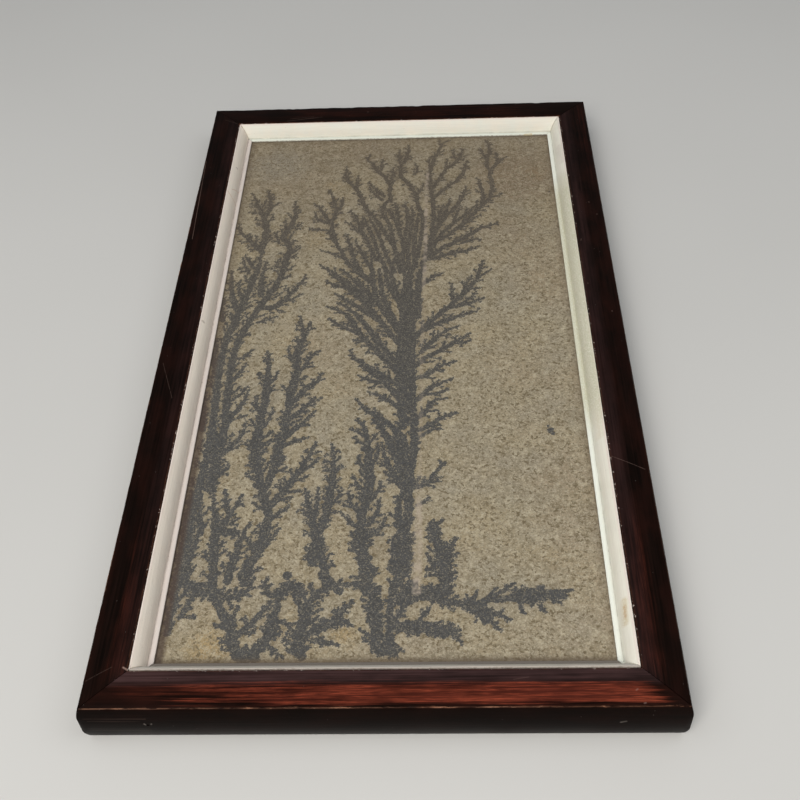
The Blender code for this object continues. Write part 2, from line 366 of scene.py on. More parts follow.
# In millimetres: (middle, radius, colour, strength)
STONE_PATCHES = (
    ((-73, -184), 14, OCHRE, 0.55),
    ((-17, -178), 9, OCHRE, 0.50),
    ((-45, -172), 12, OCHRE, 0.30),
    ((-40, 142), 8, OCHRE, 0.30),
    ((85, 150), 9, OCHRE, 0.30),
    ((-50, 90), 12, OCHRE, 0.22),
    ((-75, 165), 26, COOL_GREY, 0.5),
    # Partly the stone's russet tone and partly painted shade, darkening the far right corner further
    ((74, 150), 42, STONE_RUSSET, 0.58),
    ((-20, 178), 22, STONE_RUSSET, 0.30),
    ((64, 96), 20, STONE_RUSSET, 0.22),
    ((32, 112), 16, HALO, 0.45),
    ((-22, 70), 20, HALO, 0.25),
)
FAR_SHADE = 0.36  # how much darker and browner the slab's far end is
NEAR_SEAM_SHADE = 0.6
EDGE_SHADE_WIDTH = 5 * MM
EDGE_SHADE_STRENGTH = 0.30

# Backing
BOARD_BROWN = tone(0.26, 0.155, 0.080)
BOARD_DARK = tone(0.14, 0.080, 0.042)
BOARD_PALE = tone(0.38, 0.250, 0.140)
STEEL = tone(0.50, 0.48, 0.45)
RUST = tone(0.18, 0.075, 0.030)

# Studio
FLOOR_HALF = 3.0
FLOOR_PALE = tone(0.60, 0.59, 0.57)
FLOOR_PALER = tone(0.66, 0.65, 0.63)
WORLD_COLOUR = tone(0.92, 0.96, 1.0)
WORLD_STRENGTH = 0.23
# (name, place, size, power, colour)
SOFTBOXES = (
    ("key", (-0.28, -1.05, 1.15), 0.9, 18.8, (1.0, 0.97, 0.92)),
    ("fill", (0.9, -0.2, 1.5), 1.2, 5.0, (0.95, 0.98, 1.0)),
    ("other fill", (-0.9, -0.2, 1.5), 1.2, 3.2, (0.95, 0.98, 1.0)),
)

# Ferns, in millimetres from the middle of the slab. Each stem runs from its root to its tip.
CROWN = (
    # centre
    [(13, 77), (15, 92), (15.5, 107), (12, 124), (12, 129), (10, 135), (8, 140), (5, 145), (2, 151),
     (2, 161), (1, 170), (1, 179)],
    [(10, 152), (12, 156), (11, 164)],
    [(4, 165), (6, 175), (7, 184)],
    [(12, 131), (15, 137), (16, 142)],
    [(5, 75), (4.5, 85), (6, 97), (7, 106), (6, 116), (5, 124)],
    # close strands between the leaders
    [(-4, 58), (-9, 72), (-12, 84), (-15, 95), (-18, 104), (-20, 111)],
    [(0, 58), (-6, 76), (-9, 88), (-12, 98), (-16, 108)],
    [(3, 58), (0, 76), (-2, 90), (-4, 102), (-8, 112), (-10, 121)],
    [(11, 64), (10.5, 84), (12, 100), (13, 112)],
    [(8, 60), (7, 80), (8.5, 95), (9.5, 108), (9, 119)],
    [(-17, 54), (-22, 66), (-25, 76), (-27, 85), (-29, 94)],
    [(-12, 58), (-17, 70), (-21, 80), (-24, 88)],
    [(2, 100), (1, 108), (0, 117), (-1, 124)],
    # first leader left of the middle
    [(6, 60), (4, 72), (4.4, 81), (1, 99), (-4, 114), (-8, 119), (-4, 128), (-5, 134), (-4, 140),
     (-6, 145), (-8, 150), (-11, 154), (-14, 159), (-16, 165), (-19, 168), (-18, 175)],
    [(-11, 155), (-10, 162), (-10, 169)],
    [(-4, 140), (-3, 150), (-3, 160)],
    [(-8, 130), (-12, 135), (-15, 140), (-18, 145)],
    [(-9, 126), (-14, 133), (-17, 139)],
    # second leader
    [(4, 60), (1, 75), (-4, 88), (-8, 98), (-12, 106), (-18, 117), (-21, 126), (-23, 132), (-26, 139),
     (-30, 146), (-32, 152), (-32, 163)],
    [(-32, 149), (-34, 151)],
    [(-25, 138), (-25, 144), (-24.5, 152)],
    [(-10.5, 69), (-14, 78), (-17, 88), (-20.6, 96.5), (-23, 106.5), (-28, 116.5)],
    [(-22, 95), (-25, 100), (-30.5, 106)],
    [(-20, 98), (-20, 106), (-20.5, 111)],
    # third leader
    [(-19, 55), (-24, 63), (-28, 69), (-32, 79), (-35.5, 88), (-38, 101), (-38, 107), (-36, 115),
     (-37.5, 122), (-39, 130), (-42, 138)],
    [(-34, 118), (-33, 124), (-33, 129)],
    [(-39, 104), (-42, 110), (-45, 117), (-50, 124)],
    [(-40, 104), (-45, 107), (-48, 110), (-49, 116)],
    [(-37, 97), (-43, 98), (-47, 98), (-51.5, 100)],
    [(-33, 76), (-37, 76), (-43, 79)],
    [(-34, 84), (-38, 91), (-40, 97)],
    [(-27, 70), (-33, 73), (-39, 78)],
    # right of the vein
    [(17, 76), (19.5, 84), (21, 94), (22, 106.6), (22, 119), (20.8, 134), (20, 142), (20, 152),
     (21, 161), (22.5, 168), (25, 174), (27, 182), (30, 188)],
    [(27, 182), (26, 190)],
    [(29, 186), (33, 188.5)],
    [(20, 158), (19.5, 164), (20, 170)],
    [(21.5, 137), (24, 143), (27, 149), (30, 157), (34, 161), (37, 166), (40, 173), (40, 179)],
    [(37, 167), (35, 172), (35, 178)],
    [(29, 152), (30, 160), (31, 168)],
    [(22, 126), (24, 130), (28, 135), (32, 140), (36, 144), (39, 149), (41, 154), (42, 160), (44, 166)],
    [(22, 93), (26, 101.5), (29.5, 109), (34.5, 116.5), (38, 124), (41, 132), (42, 139)],
    [(24, 104), (26, 112), (28, 121)],
    [(29, 110), (30, 118), (32, 126)],
    # close strands right of the vein
    [(18, 70), (22, 82), (27, 92), (33, 101), (39, 108), (46, 112)],
    [(19, 76), (23.5, 96), (27, 107), (30, 117), (33, 124)],
    [(26, 86), (34, 95), (41, 102), (50, 110)],
    [(34, 104), (36, 112), (38, 119)],
    [(40, 109), (44, 114), (47, 119)],
    # right leader
    [(16, 72), (22, 83), (29.5, 90), (37, 99), (43, 107), (48, 114), (52, 120), (56, 126), (57, 132),
     (58, 138), (57, 147), (57, 154), (55, 161), (56, 165), (54, 171), (51, 179)],
    [(56, 167), (58, 176), (56, 188)],
    [(57.5, 153), (59, 157), (62, 162), (65, 166), (69, 169)],
    [(60, 158), (62, 166), (62, 174)],
    [(51, 120), (52, 128), (51, 136), (49, 147)],
    [(57, 127), (61, 128), (64, 131)],
    [(57, 131), (60, 135)],
    [(40, 104), (41, 111), (42, 117)],
    [(47, 114), (48, 119), (48, 124)],
)
RIGHT_SIDE = (
    [(15, 66), (27, 79), (34.5, 84), (42, 90), (50, 97), (55, 99), (60, 102)],
    [(38, 83), (44, 86), (49, 86)],
    [(20, 69), (29.5, 73), (37, 75), (43, 77), (48, 80)],
    [(12, 42), (17, 49), (22, 54), (27.5, 56.5)],
    [(12, 4), (17, 13), (22, 19), (28, 26), (34.5, 34), (40.8, 43), (45.8, 51), (53, 58)],
    [(46, 52), (48, 60), (50, 67)],
    [(50, 55), (54, 59)],
    [(32, 34), (32, 40), (31, 48)],
    [(38, 41), (40, 47), (43, 54)],
    [(32, 28), (38, 31), (44.5, 39)],
    [(30, 27), (39.5, 30), (44, 32), (49, 35)],
    [(17, 10), (22, 14), (29.5, 18), (38, 21.5), (45, 24)],
    [(15, -7), (22, 3), (28, 9), (35, 13)],
    [(16, -12), (22, -8), (28, -3.5), (34.5, 1.5), (41, 7)],
    [(31, 0), (36, -1), (41, 2)],
    [(13, -17), (18, -10), (23, -7), (28, -5)],
    [(13, -26), (18, -24), (24, -18), (29, -16), (33, -14)],
    [(13, -42), (18, -35), (24.5, -30), (31, -27)],
    [(18, -38), (24, -37), (29, -34)],
    [(13, -54), (17, -50), (22, -42), (28, -41)],
    [(14, -62), (19.5, -59), (25, -54), (33, -51)],
    [(15, -66), (20, -62), (25, -61)],
    [(14, -98), (18, -95), (21, -92), (23, -87), (27.5, -83)],
    [(20, -92), (24, -86), (24, -82)],
    [(13, -109), (16, -107), (19, -104)],
)
TRUNK = (
    [(10, -106), (7, -94), (4, -82), (0, -72), (-4, -62), (-9, -54)],
    [(11, -98), (8.5, -86), (6, -76), (3, -66), (-1, -56)],
    [(8, -128), (5, -117), (5, -107), (7, -98)],
    [(6, -60), (5, -44), (7, -30), (7, -10), (7, 14), (6, 36)],
    [(3, -156), (6, -144), (7, -130), (9, -118), (9, -105), (9.5, -91), (11, -80), (11.5, -66), (10.5, -40),
     (10, -14), (10, 12), (8.5, 36), (8, 55), (11, 64), (14, 80)],
    [(6, -40), (3.5, -25), (3.5, -10), (4.5, 4), (5, 20), (5, 36), (6, 50), (5, 62)],
    [(13, 20), (13, 45), (16, 66)],
)
LEFT_SIDE = (
    [(4, -2), (-4, 12), (-11, 24), (-18, 35), (-24, 43), (-31, 52), (-38, 60)],
    [(3, 10), (-5, 26), (-13, 38), (-20, 48), (-27, 57), (-31, 62)],
    [(7, -22), (-1, -10), (-8, 2), (-13, 11), (-19, 21), (-25, 28), (-32, 34)],
    [(5, 6), (-1, 22), (-6, 36), (-8, 50), (-9, 62)],
    [(6, 18), (2, 34), (-3, 46), (-6, 60)],
    [(9, -50), (2, -38), (-5, -28), (-12, -21), (-17, -16)],
    [(8, -14), (4.5, 4), (-3, 20), (-9, 33), (-12, 49), (-13, 61), (-14, 74)],
    [(5, 30), (0, 44), (-2, 58), (0, 72)],
    [(-11, 30), (-19, 41), (-27, 50), (-34, 58), (-43, 66)],
    [(-14, 50), (-20, 60), (-25, 69)],
    [(-23, 43), (-29, 46), (-33, 48), (-39, 52)],
    [(-8, 18), (-12, 21.5), (-18, 28), (-25.5, 34), (-33, 41)],
    [(10, -34), (3, -23), (-3, -13), (-10.5, -3), (-15.5, 4), (-20.5, 13), (-23, 20), (-29, 26), (-37, 30)],
    [(-18, 8), (-22, 10), (-28, 14), (-35.5, 20)],
    [(-8, -3), (-10.5, 6), (-12, 12), (-15.5, 17)],
    [(9, -40), (4.5, -33), (-4, -25), (-13, -17), (-19, -12), (-23, -5)],
    [(-5, -12), (-9, -8), (-14, -7)],
    [(8, -44), (2, -36), (-4, -30), (-12, -27), (-18, -23)],
    [(9, -58), (3, -46), (-4, -40), (-12, -35)],
    [(9, -76), (4.5, -64), (-3, -56), (-9, -51), (-14, -46), (-18, -40)],
    [(8, -84), (2, -72), (-2, -64), (-5, -56)],
    [(7, -100), (2, -90), (-2, -80), (-4, -70)],
)
SECOND_COLUMN = (
    [(-8, -154), (-10, -144), (-11, -134), (-12, -124), (-12, -114), (-10, -104), (-9, -94), (-10, -80),
     (-11, -70), (-13, -60), (-17, -54)],
    [(-12, -66), (-16, -63), (-20, -61)],
    [(-11, -100), (-15, -96), (-17, -90)],
    [(-12, -114), (-17, -108), (-19, -100)],
    [(-13, -122), (-18, -117), (-22, -112)],
    [(-10, -88), (-14, -83), (-15, -78)],
    [(-9, -106), (-5, -100), (-4, -94)],
    [(-9, -120), (-5, -112), (-4, -104)],
    [(-8, -126), (-3, -121), (-1, -115)],
    [(-9, -84), (-6, -78), (-6, -70)],
)
LEFT_TREE = (
    # dense column at the window's left edge
    [(-92, -160), (-91.5, -140), (-92, -118), (-90, -103), (-89, -85), (-88, -66), (-89, -40), (-90, -15),
     (-89, 5), (-86, 20), (-83, 36), (-80, 52), (-78, 66), (-77.5, 82)],
    [(-84, -97), (-83, -80), (-82, -60), (-83, -40), (-84, -20), (-83, 0), (-79, 16), (-75, 28),
     (-69, 42), (-65, 54), (-63, 65), (-63, 73), (-61, 79), (-63, 86), (-66, 93), (-62, 104), (-60.5, 114),
     (-61, 120), (-61.5, 127)],
    [(-77.5, 82), (-76.5, 97), (-78, 105), (-79, 110), (-78, 115), (-76.5, 122), (-77, 128), (-79.5, 139)],
    [(-79, 110), (-82, 118), (-84.5, 124), (-86, 129), (-89, 136)],
    [(-77, 117), (-74, 123), (-71, 126)],
    [(-77, 78), (-83, 86), (-88, 93), (-92, 98), (-94, 106)],
    [(-83, 60), (-86, 67), (-88, 74)],
    [(-80, 64), (-84, 70), (-87, 77)],
    [(-86, 28), (-90, 40), (-92, 52), (-93, 62)],
    [(-84, 36), (-87, 46), (-87, 54)],
    [(-74, 40), (-75, 54), (-74.5, 62), (-74, 71)],
    [(-63, 60), (-60, 63), (-57, 66)],
    [(-62, 76), (-59, 78), (-55, 82)],
    [(-64, 98), (-66, 104), (-66, 110)],
    [(-68, 86), (-70, 92), (-70, 98)],
    [(-72, 30), (-67, 30), (-62, 34), (-57, 42), (-53, 50), (-50, 57)],
    [(-64, 34), (-60, 35), (-56, 37), (-51, 41)],
    [(-74, 18), (-69, 20), (-65, 22), (-62, 22)],
    [(-81, -10), (-77, -8), (-74, -3)],
    [(-82, -26), (-79, -20), (-76, -13)],
    [(-81, -40), (-77, -36), (-74, -30)],
    [(-82, -58), (-79, -50), (-75, -42), (-73, -33)],
    [(-81, -76), (-77, -70), (-73, -64), (-72, -55)],
    [(-83, -92), (-80, -88), (-77, -82)],
    [(-92, -20), (-94, -8), (-94, 6)],
    [(-93, -60), (-94.5, -48), (-94.5, -34)],
    [(-93, 20), (-94.5, 30), (-94, 40)],
)
MID_LEFT = (
    [(-62, -151), (-61, -142), (-57, -133), (-56, -124), (-55, -114), (-58, -104), (-61, -93), (-64, -80),
     (-65, -64), (-64, -40), (-64, -20), (-65, -12), (-66, -4)],
    [(-58, -98), (-55.5, -86), (-53.5, -73), (-52, -60), (-51.5, -45), (-51, -32), (-49, -22), (-50, -14),
     (-50, -4), (-48, 5), (-49, 13), (-51, 23)],
    [(-48, 4), (-46, 10), (-45, 18)],
    [(-51, -14), (-54, -8), (-55, -1)],
    [(-49, -22), (-45, -15), (-43, -9), (-38, -5)],
    [(-50, -42), (-47, -38), (-43, -31), (-38, -27), (-36, -21)],
    [(-51, -54), (-46, -49), (-41, -43), (-35, -39)],
    [(-52, -66), (-47, -60), (-42, -54), (-38, -48)],
    [(-53, -72), (-48, -69), (-43, -67), (-40, -66)],
    [(-64, -30), (-61, -26), (-59, -20)],
    [(-64, -60), (-61, -54), (-59, -46)],
    [(-65, -50), (-68, -44), (-68, -37)],
    [(-55, -108), (-50, -101), (-46, -93), (-42, -86), (-39, -78), (-36, -69)],
    [(-43, -89), (-38, -84), (-34, -79)],
    [(-56, -118), (-51, -113), (-46, -108)],
    [(-76, -152), (-77, -140), (-78, -130), (-79, -120), (-81, -108), (-83, -98)],
    [(-70, -150), (-68, -137), (-66, -126), (-63, -117)],
    [(-79, -127), (-75, -117), (-71, -108), (-68, -101)],
    [(-74, -112), (-76, -104), (-77, -98)],
    [(-85, -124), (-87, -112), (-88, -102)],
    [(-57, -130), (-52, -126), (-49, -121)],
    [(-58, -134), (-63, -128), (-66, -122)],
    [(-88, -150), (-89, -140), (-87, -130), (-86, -122)],
)
SMALL_TREES = (
    [(-20, -156), (-26, -149), (-28, -142), (-31, -134), (-33, -124), (-35, -115), (-38, -104), (-39, -98)],
    [(-31, -124), (-28.5, -112), (-27, -100), (-26.5, -88), (-27, -80), (-28.5, -70)],
    [(-27, -84), (-24, -79)],
    [(-34, -116), (-33, -106), (-33, -97)],
    [(-27, -96), (-30, -90)],
    [(-28, -110), (-24, -104), (-22, -98)],
    [(-29, -146), (-27, -152), (-25, -158)],
)
LOW_RIGHT = (
    [(8, -163), (14.5, -158), (24, -153), (27, -150), (26, -141), (22, -131), (21, -122), (25, -117)],
    [(22, -130), (20, -122), (20.5, -117)],
    [(26, -141), (28, -134), (31, -127)],
    [(24, -150), (20, -142), (18, -136)],
    [(14, -158), (30, -162), (38, -164), (43, -161), (49, -157), (56, -152)],
    [(47, -161), (55, -159), (63, -156), (66, -154)],
    [(52, -160), (62, -161), (68, -158), (74, -157), (80, -156)],
    [(62, -160), (66, -164), (68, -168)],
    [(70, -159), (73, -162), (75, -163)],
    [(56, -160), (58, -165), (59, -168)],
    [(36, -164), (41, -169), (45, -172), (49, -176)],
    [(42, -166), (48, -168), (53, -171)],
    [(34, -162), (38, -159), (39, -156)],
    [(40, -162), (45, -158), (47, -155)],
    [(2, -174), (9, -173), (15, -172), (23, -174), (28, -176), (32, -182)],
    [(18, -173), (21, -177), (24, -179)],
    [(12, -173), (16, -168), (19, -164)],
    [(0, -178), (4, -182), (8, -185)],
    [(4, -172), (6, -166), (9, -160)],
)
LOW_ROW = (
    [(-2, -186), (-4, -177), (-4, -168), (-6, -159), (-10, -152)],
    [(0, -184), (2, -178), (2, -168), (2, -160), (4, -152)],
    [(-34, -188), (-36, -180), (-34, -170), (-33, -161), (-28, -155), (-20, -152), (-12, -152)],
    [(-34, -178), (-27, -173), (-20, -171), (-13, -173)],
    [(-22, -171), (-18, -165), (-14, -160)],
    [(-30, -180), (-24, -181), (-19, -182)],
    [(-35, -168), (-38, -160), (-41, -153)],
    [(-57, -188), (-51, -181), (-48, -173), (-47, -164), (-45, -156), (-40, -152)],
    [(-47, -170), (-42, -172), (-38, -176)],
    [(-52, -180), (-47, -184), (-42, -188)],
    [(-60, -188), (-64, -180), (-66, -172), (-71, -164), (-74, -156), (-78, -152), (-86, -151)],
    [(-64, -178), (-58, -173), (-53, -166), (-49, -160)],
    [(-73, -158), (-66, -158), (-60, -154), (-58, -148)],
    [(-76, -156), (-82, -157), (-88, -156)],
    [(-92, -176), (-92, -168), (-90, -160), (-87, -154)],
    [(-88, -168), (-85, -161), (-83, -155)],
    [(-50, -158), (-53, -152), (-52, -148)],
)
# Broad patches of fern: (radius, from, to)
PATCHES = (
    (3.4, (-33, -138), (-31, -130)),
    (3.2, (-14, -131), (-10, -124)),
    (2.4, (-10, -136), (-9, -146)),
    (2.6, (-12, -152), (-4, -156)),
    (3.2, (8, -126), (7.5, -146)),
    (2.6, (-46, -158), (-43, -152)),
    (2.2, (-40, -153), (-36, -157)),
    (3.0, (-77, -154), (-72, -158)),
    (2.0, (-88, -151), (-82, -154)),
    (2.4, (-67, -170), (-64, -179)),
    (3.0, (-61, -187), (-54, -188)),
    (2.3, (-35, -170), (-36, -185)),
    (2.2, (-29, -173), (-19, -171)),
    (2.2, (-48, -168), (-48, -177)),
    (2.2, (-5, -161), (-3, -178)),
    (2.4, (-3, -184), (4, -186)),
    (2.6, (-56, -125), (-58, -134)),
    (2.0, (-77, -122), (-69, -124)),
    (2.4, (-65, -64), (-64, -82)),
    (2.0, (-54, -64), (-55, -82)),
    (2.6, (-84, -64), (-84, -98)),
    (2.2, (-91, -100), (-91, -150)),
    (2.4, (-62, -140), (-62, -150)),
    (2.6, (12, -152), (6, -160)),
    (3.4, (25, -134), (26, -149)),
    (2.2, (20, -122), (23, -130)),
    (2.6, (14, -157), (27, -156)),
    (2.6, (35, -162), (44, -168)),
    (2.4, (5, -174), (28, -176)),
    (1.7, (55, -158), (76, -159)),
    (3.0, (4, -128), (5, -146)),
)
# (x, y, radius)
SPOTS = ((78, -63, 1.6), (77, -60.5, 1.0), (79, -65.5, 1.2), (76.5, -64.5, 0.9), (-43.5, -147, 2.2),
         (92, 131, 0.8), (92.5, 134, 0.7), (46, 26, 1.1))

# (stems, side reach, root radius, tip radius, least and most angle of the first side shoots)
GROUPS = (
    (TRUNK, 5.5, 1.9, 0.85, 25, 50),
    (CROWN, 4.5, 1.2, 0.56, 24, 48),
    (RIGHT_SIDE, 6.0, 1.4, 0.60, 28, 52),
    (LEFT_SIDE, 7.5, 1.5, 0.62, 28, 52),
    (SECOND_COLUMN, 8.5, 2.0, 0.66, 28, 52),
    (LEFT_TREE, 8.5, 1.8, 0.54, 28, 50),
    (MID_LEFT, 8.5, 1.9, 0.64, 28, 52),
    (SMALL_TREES, 6.5, 1.8, 0.62, 28, 52),
    (LOW_RIGHT, 5.5, 1.6, 0.66, 28, 55),
    (LOW_ROW, 7.5, 2.0, 0.76, 28, 60),
)
# (spacing, share of the reach, growth of the reach per mm from the tip, least and most angle), the
# angles being those of the group where there are none
LEVELS = (
    (1.05, 1.0, 0.36, None, None),
    (1.00, 0.50, 0.50, 28, 52),
    (0.90, 0.22, 0.60, 30, 60),
)

FERN_STEP = 0.45  # between the dabs of a shoot
FERN_CELL = 0.25  # size of the cells of the map that tells which shoot has grown where
FERN_REACH = 4.0  # up to which the distance from the ferns is kept
HALF_X, HALF_Y = 98.0, 195.0  # of the map
BARREN_EDGE = 2
MARGIN = 0.52  # from a shoot's own side to the mark of its neighbour
MARK_INSET = 0.4  # of a dab's mark on the map
LOOK_AHEAD = 0.4
SWAY = 0.35
SWAY_LENGTHS = (1.3, 1.7)
JITTER = 0.12
STEM_TAPER = 0.045
STEM_UNEVENNESS = (0.85, 1.12)
SHOOT_TAPER = 0.03
SHOOT_UNEVENNESS = (0.8, 1.12)
SHOOT_LENGTHS = (0.6, 1.2)  # as shares of the length that the place on the limb calls for
SHORTEST_SHOOT = 0.7
SHOOT_BEND = 0.012  # in radians a step, as is the jitter of the heading
HEADING_JITTER = 0.10
NEXT_TIP = 0.92  # a side shoot's tip as a share of its parent's
PATCH_FILL = 0.8
CRUMBS_PER_DAB = 3
CRUMB_PLACES = (0.6, 1.45)
CRUMB_SIZES = (0.45, 1.0)
FERN_SEED = 11

# Round marks on the map, for each radius in cells
DISCS = [np.hypot(*np.mgrid[-n:n + 1, -n:n + 1]) <= n + 0.3 for n in range(14)]


class Ground:
    """A map of which shoot owns each small cell of the slab, and the list of the ferns' dabs."""

    def __init__(self):
        self.owner = np.zeros((int(2 * HALF_Y / FERN_CELL), int(2 * HALF_X / FERN_CELL)), np.int32)
        self.dabs = []
        self.last = 0

    def window(self, x, y, radius):
        """The cells around a place, and the round mark that fits them."""
        column = int((x + HALF_X) / FERN_CELL)
        row = int((y + HALF_Y) / FERN_CELL)
        n = max(0, int(round(radius / FERN_CELL)))
        return self.owner[row - n:row + n + 1, column - n:column + n + 1], DISCS[n]

    def inside(self, x, y):
        return abs(x) < HALF_X - BARREN_EDGE and abs(y) < HALF_Y - BARREN_EDGE

    def blocked(self, x, y, radius, own, parent):
        """Whether another shoot than these two has grown within the radius."""
        found, disc = self.window(x, y, radius)
        return bool((disc & (found != 0) & (found != own) & (found != parent)).any())

    def put(self, x, y, radius, owner):
        patch, disc = self.window(x, y, max(0, radius - MARK_INSET))
        patch[disc & (patch == 0)] = owner
        self.dabs.append((x, y, radius))


def smoothed(points, chance):
    """Points every FERN_STEP along a slightly wandering curve through the given points."""
    corners = [np.array(p, float) for p in points]
    out = []
    for k in range(len(corners) - 1):
        p1, p2 = corners[k], corners[k + 1]
        p0 = corners[k - 1] if k else 2 * corners[0] - corners[1]
        p3 = corners[k + 2] if k + 2 < len(corners) else 2 * corners[-1] - corners[-2]
        count = max(1, int(np.linalg.norm(p2 - p1) / FERN_STEP))
        for i in range(count):
            t = i / count
            out.append(0.5 * (2 * p1 + (p2 - p0) * t + (2 * p0 - 5 * p1 + 4 * p2 - p3) * t * t
                              + (3 * p1 - p0 - 3 * p2 + p3) * t ** 3))
    out.append(corners[-1])
    start_x, start_y = chance.uniform(0, 6), chance.uniform(0, 6)
    for i, point in enumerate(out):
        travelled = i * FERN_STEP
        sway_x = SWAY * math.sin(start_x + travelled / SWAY_LENGTHS[0]) * 0.6
        point[0] += sway_x + chance.uniform(-JITTER, JITTER)
        point[1] += SWAY * math.sin(start_y + travelled / SWAY_LENGTHS[1]) * 0.4
    return [tuple(point) for point in out]


def shoot_seeds(limbs, level, chance):
    """Where the side shoots of the limbs start, on one side and then the other, in a random order."""
    spacing, share, growth, low, high = level
    seeds = []
    for path, reach, tip, angles, own in limbs:
        travelled = chance.uniform(0, spacing)
        side = chance.choice((-1, 1))
        for i in range(1, len(path) - 1):
            travelled += FERN_STEP
            if travelled < spacing:
                continue
            travelled = chance.uniform(-0.3, 0.3)
            side = -side
            left = (len(path) - 1 - i) * FERN_STEP
            heading = math.atan2(path[i + 1][1] - path[i - 1][1], path[i + 1][0] - path[i - 1][0])
            heading += side * math.radians(chance.uniform(low or angles[0], high or angles[1]))
            length = min(reach * share, SHORTEST_SHOOT + growth * left) * chance.uniform(*SHOOT_LENGTHS)
            seeds.append((path[i], heading, -side, length, reach, tip, angles, own))
    chance.shuffle(seeds)
    return seeds


def sprout(ground, limbs, level, chance):
    """Side shoots of the limbs, each of which grows until it comes close to another shoot."""
    grown = []
    for (x, y), heading, bend, length, reach, tip, angles, parent in shoot_seeds(limbs, level, chance):
        ground.last += 1
        own = ground.last
        path = [(x, y)]
        travelled = 0
        while travelled < length:
            heading += bend * SHOOT_BEND + chance.uniform(-HEADING_JITTER, HEADING_JITTER)
            ahead_x, ahead_y = math.cos(heading), math.sin(heading)
            nx, ny = x + FERN_STEP * ahead_x, y + FERN_STEP * ahead_y
            radius = (tip + SHOOT_TAPER * (length - travelled)) * chance.uniform(*SHOOT_UNEVENNESS)
            front = (nx + LOOK_AHEAD * ahead_x, ny + LOOK_AHEAD * ahead_y)
            if not ground.inside(nx, ny) or ground.blocked(*front, radius + MARGIN, own, parent):
                break
            x, y = nx, ny
            travelled += FERN_STEP
            ground.put(x, y, radius, own)
            path.append((x, y))
        if len(path) > 2:
            grown.append((path, reach, tip * NEXT_TIP, angles, own))
    return grown


def grow_ferns():
    """The dabs (x, y, radius) of all the ferns, in millimetres."""
    chance = random.Random(FERN_SEED)
    ground = Ground()
    limbs = []
    for stems, reach, root, tip, low, high in GROUPS:
        for stem in stems:
            ground.last += 1
            path = smoothed(stem, chance)
            for i, (x, y) in enumerate(path):
                radius = min(root, tip + STEM_TAPER * (len(path) - 1 - i) * FERN_STEP)
                ground.put(x, y, radius * chance.uniform(*STEM_UNEVENNESS), ground.last)
            limbs.append((path, reach, tip, (low, high), ground.last))
    for level in LEVELS:
        limbs = sprout(ground, limbs, level, chance)
    for radius, start, end in PATCHES:
        for x, y in smoothed((start, end), chance):
            ground.put(x, y, radius * PATCH_FILL, ground.last + 1)
            for _ in range(CRUMBS_PER_DAB):
                turn = chance.uniform(0, 2 * math.pi)
                apart = radius * chance.uniform(*CRUMB_PLACES)
                crumb = chance.uniform(*CRUMB_SIZES)
                ground.put(x + apart * math.cos(turn), y + apart * math.sin(turn), crumb, ground.last + 1)
    for x, y, radius in SPOTS:
        ground.put(x, y, radius, ground.last + 1)
    return ground.dabs


def fern_outline(dabs, xs, ys):
    """Distance in millimetres to the nearest dab's edge at each place, below 0 inside the ferns."""
    out = np.full((len(ys), len(xs)), FERN_REACH)
    for x, y, radius in dabs:
        i0, i1 = np.searchsorted(xs, (x - FERN_REACH, x + FERN_REACH))
        j0, j1 = np.searchsorted(ys, (y - FERN_REACH, y + FERN_REACH))
        patch = np.hypot(xs[i0:i1] - x, (ys[j0:j1] - y)[:, None]) - radius
        np.minimum(out[j0:j1, i0:i1], patch, out=out[j0:j1, i0:i1])
    return out


def arc(centre, radius, start, end, steps):
    """Points on an arc between two angles in degrees, both ends included."""
    points = []
    for i in range(steps + 1):
        angle = math.radians(start + (end - start) * i / steps)
        points.append((centre[0] + radius * math.cos(angle), centre[1] + radius * math.sin(angle)))
    return points


def bowed(start, end, swell, steps):
    """Points from start to end along a shallow curve that bows to the left of that line by swell."""
    run = Vector(end) - Vector(start)
    left = Vector((-run.y, run.x)).normalized()
    points = []
    for i in range(steps + 1):
        t = i / steps
        point = Vector(start) + run * t + left * swell * 4 * t * (1 - t)
        points.append((point.x, point.y))
    return points


def rail_section():
    """The rail's outline as (distance in from the outer edge, height), clockwise from its foot."""
    lean = math.degrees(SIDE_LEAN)
    inset = math.cos(SIDE_LEAN)
    points = arc((FOOT_RADIUS * inset, FOOT_RADIUS), FOOT_RADIUS, 270, 180 + lean, 6)
    side_centre = (SIDE_RADIUS * inset, (SIDE_HIGH + SIDE_LOW) / 2)
    points += arc(side_centre, SIDE_RADIUS, 180 + lean, 180 - lean, 24)[1:]
    arris_centre = (ARRIS_RADIUS * inset, ARRIS_HEIGHT - ARRIS_RADIUS)
    points += arc(arris_centre, ARRIS_RADIUS, 180 - lean, 90, 6)[1:]
    sight_centre = (RAIL_WIDTH - SIGHT_RADIUS, ARRIS_HEIGHT - SIGHT_RADIUS)
    points += bowed(points[-1], (sight_centre[0], ARRIS_HEIGHT), FRAME_HEIGHT - ARRIS_HEIGHT, 26)[1:]
    points += arc(sight_centre, SIGHT_RADIUS, 90, 0, 5)[1:]
    points.append((RAIL_WIDTH, 0.0))
    return points


